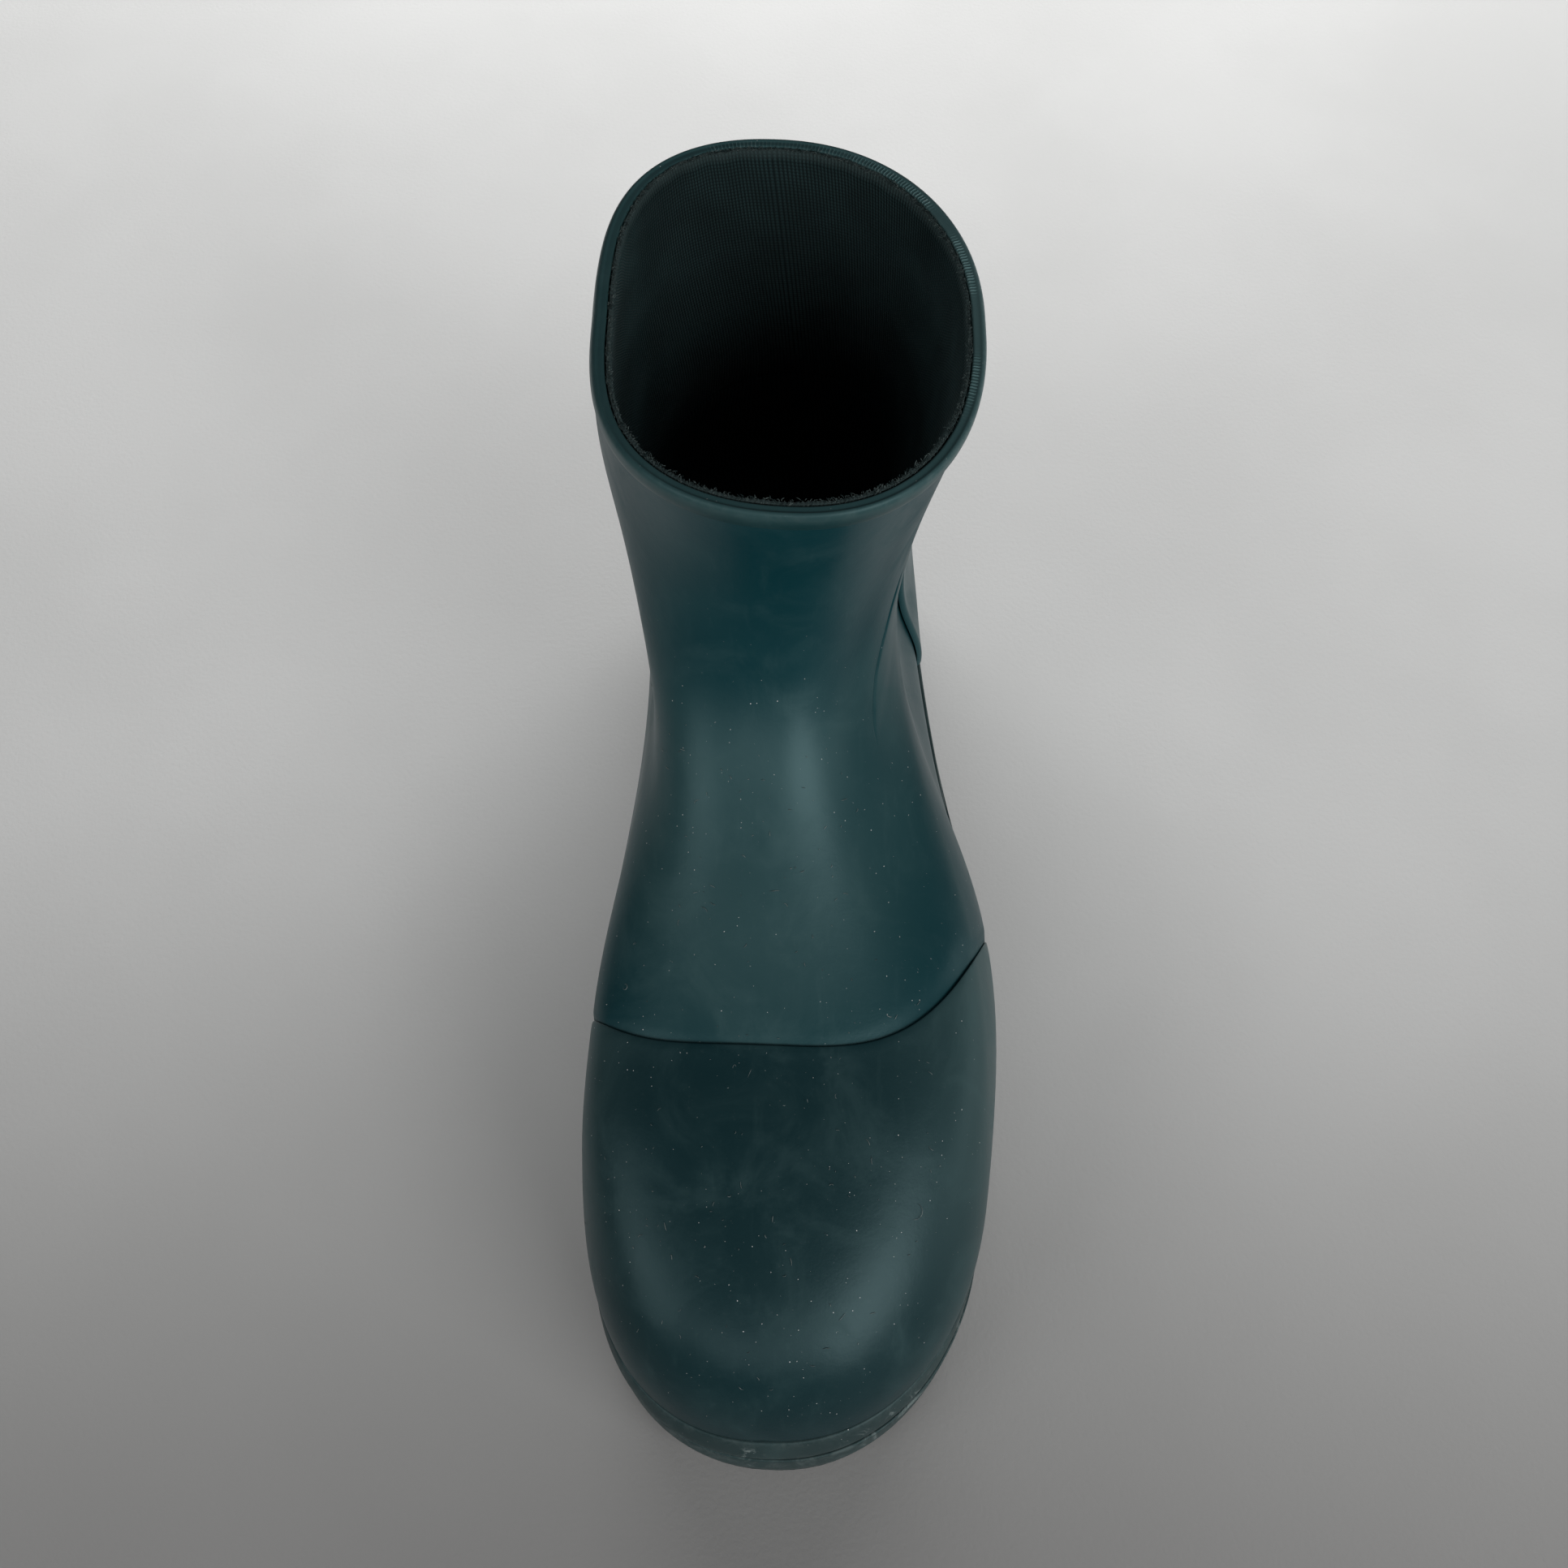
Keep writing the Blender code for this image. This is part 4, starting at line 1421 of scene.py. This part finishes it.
    def rows(self, first_turn: float, first: float, last: float) -> Array:
        """Rows along the sole: even in turn, with more at the sides of each groove.

        Args:
            first_turn: The turn that the rows start from.
            first: The first groove's middle.
            last: Where the grooves end.

        Returns:
            The rows, as places from front to back.
        """
        front, back = RINGS[0, 1], RINGS[0, 3]
        turn = np.linspace(first_turn, math.pi, self.lengthwise)
        even = front + (back - front) * (1 - np.cos(turn)) / 2
        middles = np.arange(first, last, self.groove_pitch)
        half, side = self.groove_width / 2, self.groove_side
        edges = (-half - side, -half + side, half - side, half + side)
        sides = np.concatenate([middles + edge for edge in edges])
        return np.unique(np.concatenate([even, sides[sides > even[0]]]))

    def slab_body(self, y: Array, inset: float, bottom: Array, top: Array, roll: float) -> Body:
        """A layer of the sole: each row runs from the outer to the inner outline, with its
        points close together at both ends, and the lower edge is rolled.

        Args:
            y: Rows, as places along the feather line.
            inset: How far the layer stays inside the sole's flange; it may be past it.
            bottom: Height of the underside at each row.
            top: Height of the upper side at each row.
            roll: Radius of the lower edge.

        Returns:
            The closed layer.
        """
        front, back = RINGS[0, 1], RINGS[0, 3]
        turn = np.arccos(np.clip(1 - 2 * (y - front) / (back - front), -1, 1))
        outer = self.last.sideways(turn, self.push(turn, inset))
        inner = self.last.sideways(-turn, self.push(-turn, inset))
        share = ((1 - np.cos(np.linspace(0, math.pi, self.across))) / 2)[None, :, None]
        plan = outer[:, None] * (1 - share) + inner[:, None] * share
        rim = np.concatenate([outer[::2], inner[::-2]])[:, :2]
        flat = plan[..., :2].reshape(-1, 1, 2)
        away = np.sqrt(((flat - rim[None]) ** 2).sum(-1)).min(1).reshape(plan.shape[:2])
        lifted, upper = plan.copy(), plan.copy()
        lifted[..., 2] = bottom[:, None] + roll * (1 - quarter_round(away / roll))
        upper[..., 2] = top[:, None]
        return plate_body(upper, lifted)

    def build_tread(self) -> None:
        """The outsole, the heel block and the heel's top piece, with cross grooves."""
        y = self.rows(0.0, *self.forepart_grooves)
        under = self.underside(y)
        low = under + self.grooves(y, *self.forepart_grooves)
        body = self.slab_body(y, self.slab_inset, low, under + self.slab, 1.0)
        add_piece("outsole_slab", body, self.tread, "outsole", 30, True)
        y = self.rows(self.heel_turn, *self.heel_grooves)
        low, high = np.full_like(y, self.top_piece + GAP), np.full_like(y, self.heel_rise - GAP)
        body = self.slab_body(y, self.heel_inset, low, high, 0.4)
        add_piece("heel_lift", body, self.tread, "heel_block", 30, True)
        low, high = self.grooves(y, *self.heel_grooves), np.full_like(y, self.top_piece)
        body = self.slab_body(y, self.heel_inset, low, high, 1.0)
        add_piece("heel_tread", body, self.tread, "heel_top_piece", 30, True)

    def build(self) -> None:
        """Builds the sole's outer layers."""
        self.build_foxing()
        self.build_bumper()
        self.build_tread()


# ---------------------------------------------------------------- the inside


@dataclass
class Inside:
    """What the foot touches: rib-knit linings with a frayed cut edge, and the footbed."""

    last: Last
    knit: bpy.types.Material
    foam: bpy.types.Material
    fray: bpy.types.Material
    cap_edge: CapEdge = field(default_factory=CapEdge)
    rubber: float = 2.4
    stiffener: float = 1.0
    lining: float = 1.4
    wales: int = 330
    rib: float = 0.32
    course: float = 0.85
    footbed_inset: float = 8.2
    foam_height: float = 4.5
    cover: float = 1.2
    leg_low: float = 0.59
    leg_top: float = 0.9972
    leg_rows: int = 34
    leg_unevenness: float = 0.0016
    foot_high: float = 0.586
    foot_wales: int = 240
    foot_rows: int = 50
    mm_a_level: float = 210.0
    crown: float = 0.5
    shoulder: float = 14.0
    cup: float = 1.6
    cup_reach: float = 7.0

    def depth(self, turn: Array, level: Array) -> Array:
        """Where the lining's outer face lies: behind the rubber, and deeper where the toe
        puff and the heel stiffener are between them.

        Args:
            turn: Angles round the ring.
            level: Heights from 0 to 1.

        Returns:
            Distances out, which are below zero.
        """
        points = self.last.outside(turn, level)
        x, y, z = (points[..., k] for k in range(3))
        toe = 1 - smooth_step(y - self.cap_edge.back_y(x), 10, 36)
        heel = smooth_step(y, 24, 50) * (1 - smooth_step(z, 106, 128))
        step = (self.stiffener + GAP) * np.maximum(toe, heel)
        return -(self.rubber + GAP) - step

    def lining_body(self, low: float, high: float, wales: int, rows: int, edge: float) -> Body:
        """A knitted tube: its inner face is waved round the turn, one wave for each wale, and
        its upper end is rounded and a little uneven.

        Args:
            low: Lowest level.
            high: Highest level.
            wales: How many wales go round.
            rows: Rows up the inner face.
            edge: How uneven the upper end is, in levels.

        Returns:
            The tube, with wales and courses as its UV.
        """
        turns = np.arange(wales * 4) * FULL_TURN / (wales * 4)
        top = high + edge * (ripple(turns * 7, turns * 0, 41) - 1.0)
        up = np.concatenate([np.linspace(0.0, 1.0, rows), np.linspace(1.0, 0.0, rows)])
        turn, share = np.meshgrid(turns, up)
        level = low + (top[None] - low) * share
        inner = np.arange(len(up)) >= rows
        wave = self.rib * (0.5 + 0.5 * np.cos(turn * wales + 0.4 * np.sin(level * 60)))
        crown = smooth_step(1 - share, 0, 0.012)
        thick = np.where(inner[:, None], self.lining - 0.55 + 0.55 * crown - wave, 0.0)
        points = self.last.moved(turn, level, self.depth(turn, level) - thick)
        height = (high - low) * self.mm_a_level
        cut = smooth_step(level, top - 0.006, top - 0.001) if edge else np.zeros(level.shape)
        return ring_body(points, (0.25, height / self.course / rows), {"cut": cut})

    def build_linings(self) -> None:
        """The leg's and the foot's lining."""
        leg = self.lining_body(self.leg_low, self.leg_top, self.wales, self.leg_rows,
                               self.leg_unevenness)
        add_piece("leg_knit", leg, self.knit, "leg_lining", 80)
        foot = self.lining_body(0.0, self.foot_high, self.foot_wales, self.foot_rows, 0.0)
        add_piece("foot_knit", foot, self.knit, "foot_lining", 80)

    def build_fray(self, loops: int = 2800) -> None:
        """Cut loops along the lining's upper end: each is a short arc that rises from the cut
        edge, leans a random way and bends back.

        Args:
            loops: How many there are.
        """
        draw = np.random.default_rng(8)
        turn = draw.uniform(0, FULL_TURN, loops)
        level = np.full(loops, self.leg_top - 0.002)
        across = self.depth(turn, level) + draw.uniform(-1.1, 0.35, loops)
        foot = self.last.moved(turn, level, across)
        inward = -self.last.outward(turn, level)
        around = np.cross(inward, np.array((0.0, 0.0, 1.0)))
        size = draw.gamma(3.0, 0.17, loops).clip(0.25, 1.5)
        lean = draw.normal(0, 0.7, (loops, 1))
        tilt = draw.uniform(-0.1, 0.9, (loops, 1))
        t = np.linspace(0, 1, 6)[None, :, None]
        rise = np.array((0.0, 0.0, 1.0)) * (1.25 - 0.5 * tilt)
        side = (around * lean + inward * tilt)[:, None]
        bend = around * draw.choice((-1.0, 1.0), (loops, 1))
        curl = bend[:, None] * (t**2 * (1.1 - 0.4 * t))
        paths = foot[:, None] + size[:, None, None] * (
            rise[:, None] * (t - 0.42 * t**3) + side * t + curl * 0.6)
        body = thread_body(paths, draw.uniform(0.05, 0.10, loops))
        add_piece("cut_edge_loops", body, self.fray, sharp=180)

    def pad(self, low: float, high: float, crown: float, roll: float) -> Body:
        """A pad on the footbed's outline: its edges are rolled, its middle is crowned, and its
        heel is cupped.

        Args:
            low: Height of its underside over the feather line.
            high: Height of its upper side.
            crown: How much higher its middle is than its edges.
            roll: Radius of its upper edge.

        Returns:
            The closed pad.
        """
        front, back = RINGS[0, 1], RINGS[0, 3]
        turn = np.linspace(0.0, math.pi, 150)
        y = front + (back - front) * (1 - np.cos(turn)) / 2
        outer = self.last.sideways(turn, -self.footbed_inset)
        inner = self.last.sideways(-turn, -self.footbed_inset)
        share = ((1 - np.cos(np.linspace(0, math.pi, 30))) / 2)[None, :, None]
        plan = outer[:, None] * (1 - share) + inner[:, None] * share
        rim = np.concatenate([outer[::2], inner[::-2]])[:, :2]
        away = np.sqrt(((plan[..., :2].reshape(-1, 1, 2) - rim[None]) ** 2).sum(-1)).min(1)
        away = away.reshape(plan.shape[:2])
        feather = self.last.sideways(turn, 0)[:, 2]
        cup = self.cup * np.exp(-away / self.cup_reach) * smooth_step(y, 20, 70)[:, None]
        top, bottom = plan.copy(), plan.copy()
        rolled = roll * (1 - quarter_round(away / roll))
        swell = crown * (quarter_round(away / self.shoulder) - 1)
        top[..., 2] = feather[:, None] + high + swell + cup - rolled
        bottom[..., 2] = feather[:, None] + low + rolled * 0.5 + cup * 0.6
        return plate_body(top, bottom)

    def build_footbed(self) -> None:
        """The foam footbed and its knitted cover."""
        low = GAP
        foam = self.pad(low, low + self.foam_height - GAP, self.crown, 1.0)
        foam = add_piece("footbed_pad", foam, self.foam, "footbed_foam", 60, True)
        low += self.foam_height + GAP
        cover = self.pad(low, low + self.cover, self.crown, 0.5)
        add_piece("footbed_top", cover, self.knit, "footbed_cover", 60, True)

    def build(self) -> None:
        """Builds the inside."""
        self.build_linings()
        self.build_fray()
        self.build_footbed()


# ---------------------------------------------------------------- lint


@dataclass
class Lint:
    """A few loose fibres lying on the rubber."""

    last: Last
    finish: bpy.types.Material
    lift: float = 2.12
    vamp_lift: float = 0.10
    count: int = 170
    spread: float = 0.42
    levels: tuple[float, float] = (0.16, 0.66)
    radius: float = 0.06

    def scattered(self) -> Array:
        """Short bent fibres at random places on the cap and the vamp: each is an arc in the
        plane of the surface, lifted a little in its middle.

        Returns:
            Points, fibres by points by three.
        """
        draw = np.random.default_rng(21)
        turn = draw.normal(0, self.spread, self.count)
        level = draw.uniform(*self.levels, self.count)
        return self.arcs(turn, level, draw.gamma(2.5, 0.34, self.count).clip(0.35, 2.6),
                         draw.uniform(0, FULL_TURN, self.count), draw.normal(0, 1.3, self.count))

    def arcs(self, turn: Array, level: Array, length: Array, heading: Array,
             bend: Array) -> Array:
        """Arcs lying on the surface: from each place, a walk of eight steps whose heading
        changes evenly by bend.

        Args:
            turn: Turn of each place.
            level: Level of each place.
            length: Length of each arc, in millimetres.
            heading: Heading of its first step, in the surface.
            bend: How much its heading changes on the way.

        Returns:
            Points, arcs by points by three.
        """
        edge = CapEdge().inside(self.last.outside(turn, level))
        out = np.where(edge > 1.5, self.lift, self.vamp_lift)
        start = self.last.moved(turn, level, out)
        normal = self.last.outward(turn, level)
        first = np.cross(normal, np.array((0.0, 1.0, 0.0)))
        first /= np.linalg.norm(first, axis=-1, keepdims=True)
        second = np.cross(normal, first)
        steps = np.linspace(0, 1, 9)
        angle = heading[:, None] + bend[:, None] * steps
        stride = (length / 8)[:, None, None]
        way = first[:, None] * np.cos(angle)[..., None] + second[:, None] * np.sin(angle)[..., None]
        arch = normal[:, None] * (0.12 * np.sin(steps * math.pi))[None, :, None]
        return start[:, None] + np.cumsum(way * stride, axis=1) + arch

    def build(self) -> None:
        """The scattered fibres, a looped thread beside the cap line, and a hooked one on the
        outer toe."""
        looped = self.arcs(np.radians([-39.5, 29.0]), np.array([0.408, 0.272]),
                           np.array([4.6, 6.5]), np.array([0.6, 2.6]), np.array([6.4, 3.4]))
        paths = np.concatenate([self.scattered(), looped])
        body = thread_body(paths, np.full(len(paths), self.radius))
        add_piece("lint", body, self.finish, sharp=180)


# ---------------------------------------------------------------- hidden layers and studio


def dress_hidden(finishes: dict[str, bpy.types.Material]) -> None:
    """Gives the carried-over CAD nodes their finishes.

    Args:
        finishes: Each node's material.
    """
    for node, finish in finishes.items():
        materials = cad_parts[node].data.materials
        materials.clear()
        materials.append(finish)
        log.info("%s: finish %s", node, finish.name)


@dataclass
class Studio:
    """A plain pale floor, soft lights, and the camera above the toe, looking down."""

    elevation: float = math.radians(63.8)
    azimuth: float = math.radians(2.0)
    distance: float = 0.41034
    aim: tuple[float, float, float] = (-0.00493, 0.01076, 0.0800)
    lens: float = 36.09
    sensor: float = 36.0
    floor: bpy.types.Object | None = None

    def build_floor(self) -> None:
        """The floor: one wide sheet with a faint mottle, and painted shadow that darkens it towards
        the camera.
        """
        graph = Graph("studio_floor")
        mottle = graph.span(graph.noise(9, 4), 0.3, 0.7)
        along = graph.node("SeparateXYZ", {"Vector": graph.place}).outputs[1]
        # Painted shadow: the floor's colour darkens towards the camera.
        near = graph.span(along, -0.24, 0.08, 0.85, 0.0)
        pale = graph.mix(mottle, (0.60, 0.60, 0.59), (0.64, 0.64, 0.63))
        graph.set(Base_Color=graph.mix(near, pale, (0.20, 0.195, 0.19)), Roughness=0.8,
                  Normal=graph.bump(graph.noise(700, 2), 0.0001))
        mesh = bpy.data.meshes.new("studio_floor")
        mesh.from_pydata([(-4, -4, 0), (4, -4, 0), (4, 4, 0), (-4, 4, 0)], [], [(0, 1, 2, 3)])
        mesh.materials.append(graph.material)
        floor = bpy.data.objects.new("studio_floor", mesh)
        bpy.context.scene.collection.objects.link(floor)
        self.floor = floor

    def add_light(self, name: str, place: tuple[float, float, float], size: tuple[float, float],
                  power: float, aim: tuple[float, float, float] = (0, 0, 0.08),
                  only: bpy.types.Collection | None = None) -> None:
        """An oblong area light aimed at a point.

        Args:
            name: The light's name.
            place: Where it stands, in metres.
            size: Its width and height.
            power: Its power in watts.
            aim: The point that it faces.
            only: The collection that it lights, where it doesn't light everything.
        """
        data = bpy.data.lights.new(name, "AREA")
        data.shape = "RECTANGLE"
        data.size, data.size_y = size
        data.energy = power
        light = bpy.data.objects.new(name, data)
        light.location = place
        if only:
            light.light_linking.receiver_collection = only
        light.rotation_euler = (Vector(aim) - Vector(place)).to_track_quat("-Z", "Y").to_euler()
        bpy.context.scene.collection.objects.link(light)

    def around(self, azimuth: float, elevation: float, distance: float) -> tuple[float, ...]:
        """A place about the boot.

        Args:
            azimuth: Degrees round from the front, towards the outer side.
            elevation: Degrees up from the floor.
            distance: Metres from the origin.

        Returns:
            The place, in metres.
        """
        a, e = math.radians(azimuth), math.radians(elevation)
        flat = distance * math.cos(e)
        return math.sin(a) * flat, -math.cos(a) * flat, distance * math.sin(e)

    def build_lights(self) -> None:
        """Two soft boxes ahead with a dark gap between them, a low one on the outer side, one
        over the far floor, and a dim room."""
        self.add_light("outer_front", self.around(45, 33, 1.4), (0.85, 0.75), 7.4)
        self.add_light("inner_front", self.around(-52, 32, 1.4), (0.6, 0.7), 2.7)
        self.add_light("middle_front", self.around(-4, 36, 1.5), (1.0, 0.4), 2.0)
        self.add_light("outer_side", self.around(88, 8, 1.4), (1.0, 0.5), 1.5)
        ground = bpy.data.collections.new("lit_floor")
        ground.objects.link(self.floor)
        self.add_light("far_floor", (0.0, 0.80, 0.5), (1.3, 0.4), 8.6, (0.0, 0.35, 0.0), ground)
        world = bpy.data.worlds.new("room")
        world.use_nodes = True
        background = world.node_tree.nodes["Background"]
        background.inputs["Color"].default_value = (0.92, 0.95, 1.0, 1.0)
        background.inputs["Strength"].default_value = 0.085
        bpy.context.scene.world = world

    def build_camera(self) -> None:
        """The camera, at its distance from the aim along the viewing direction."""
        data = bpy.data.cameras.new("camera")
        data.lens = self.lens
        data.sensor_width = self.sensor
        data.clip_start = 0.01
        flat = math.cos(self.elevation)
        back = Vector((math.sin(self.azimuth) * flat, -math.cos(self.azimuth) * flat,
                       math.sin(self.elevation)))
        camera = bpy.data.objects.new("camera", data)
        camera.location = Vector(self.aim) + back * self.distance
        camera.rotation_euler = (-back).to_track_quat("-Z", "Y").to_euler()
        bpy.context.scene.collection.objects.link(camera)
        bpy.context.scene.camera = camera

    def build(self) -> None:
        """Builds the studio."""
        self.build_floor()
        self.build_lights()
        self.build_camera()
        bpy.context.scene.view_settings.view_transform = "Standard"


def main() -> None:
    """Builds the boot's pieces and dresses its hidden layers."""
    logging.basicConfig(level=logging.INFO, format="%(name)s: %(message)s")
    last = Last()
    upper = RubberFinish("upper_rubber_skin", (0.0024, 0.0420, 0.0520), (0.0046, 0.0490, 0.0590),
                         dull_gloss=0.05)
    # Painted shade: the toe cap's rubber is a darker copy of the upper's, standing in for the shade
    # on the cap's top.
    cap = RubberFinish("cap_rubber_painted_shade", (0.0036, 0.0255, 0.0310), (0.0072, 0.0320, 0.0375))
    trim = RubberFinish("trim_rubber_skin", (0.0200, 0.0410, 0.0430), (0.0310, 0.0520, 0.0530),
                        roughness=0.5, dust=0.4, scuffs=0.8)
    tread = RubberFinish("sole_rubber_skin", (0.0100, 0.0240, 0.0260), (0.0220, 0.0380, 0.0390),
                         roughness=0.6, grain=0.00006, dust=0.0)
    knit = KnitFinish("lining_knit_cloth").material()
    foam = CellFinish("footbed_foam_cells", (0.12, 0.12, 0.11), (0.05, 0.05, 0.045), 1100)
    sponge = CellFinish("sponge_rubber_cells", (0.08, 0.08, 0.075), (0.02, 0.02, 0.02), 500)
    board = BoardFinish("stiffener_board_fibre").material()
    fray = ThreadFinish("cut_loops", (0.020, 0.038, 0.039), (0.115, 0.150, 0.145))
    fluff = ThreadFinish("lint_fibre", (0.12, 0.15, 0.15), (0.34, 0.38, 0.37))
    rim = RubberFinish("rim_rubber_skin", (0.0070, 0.0420, 0.0470), (0.0110, 0.0500, 0.0540),
                       bloom_share=0.18, mist_and_painted_highlight=0.62, roughness=0.48, dust=0.5, scuffs=0.8)
    Upper(last, upper.material(), cap.material()).build()
    Rim(last, rim.material()).build()
    Sole(last, trim.material(), tread.material()).build()
    Inside(last, knit, foam.material(), fray.material()).build()
    Lint(last, fluff.material()).build()
    dress_hidden({
        "midsole_filler": sponge.material(),
        "shank": SteelFinish("shank_steel_strip").material(),
        "insole_board": board,
        "toe_puff": board,
        "heel_stiffener": board,
    })
    Studio().build()


if __name__ == "__main__":
    main()
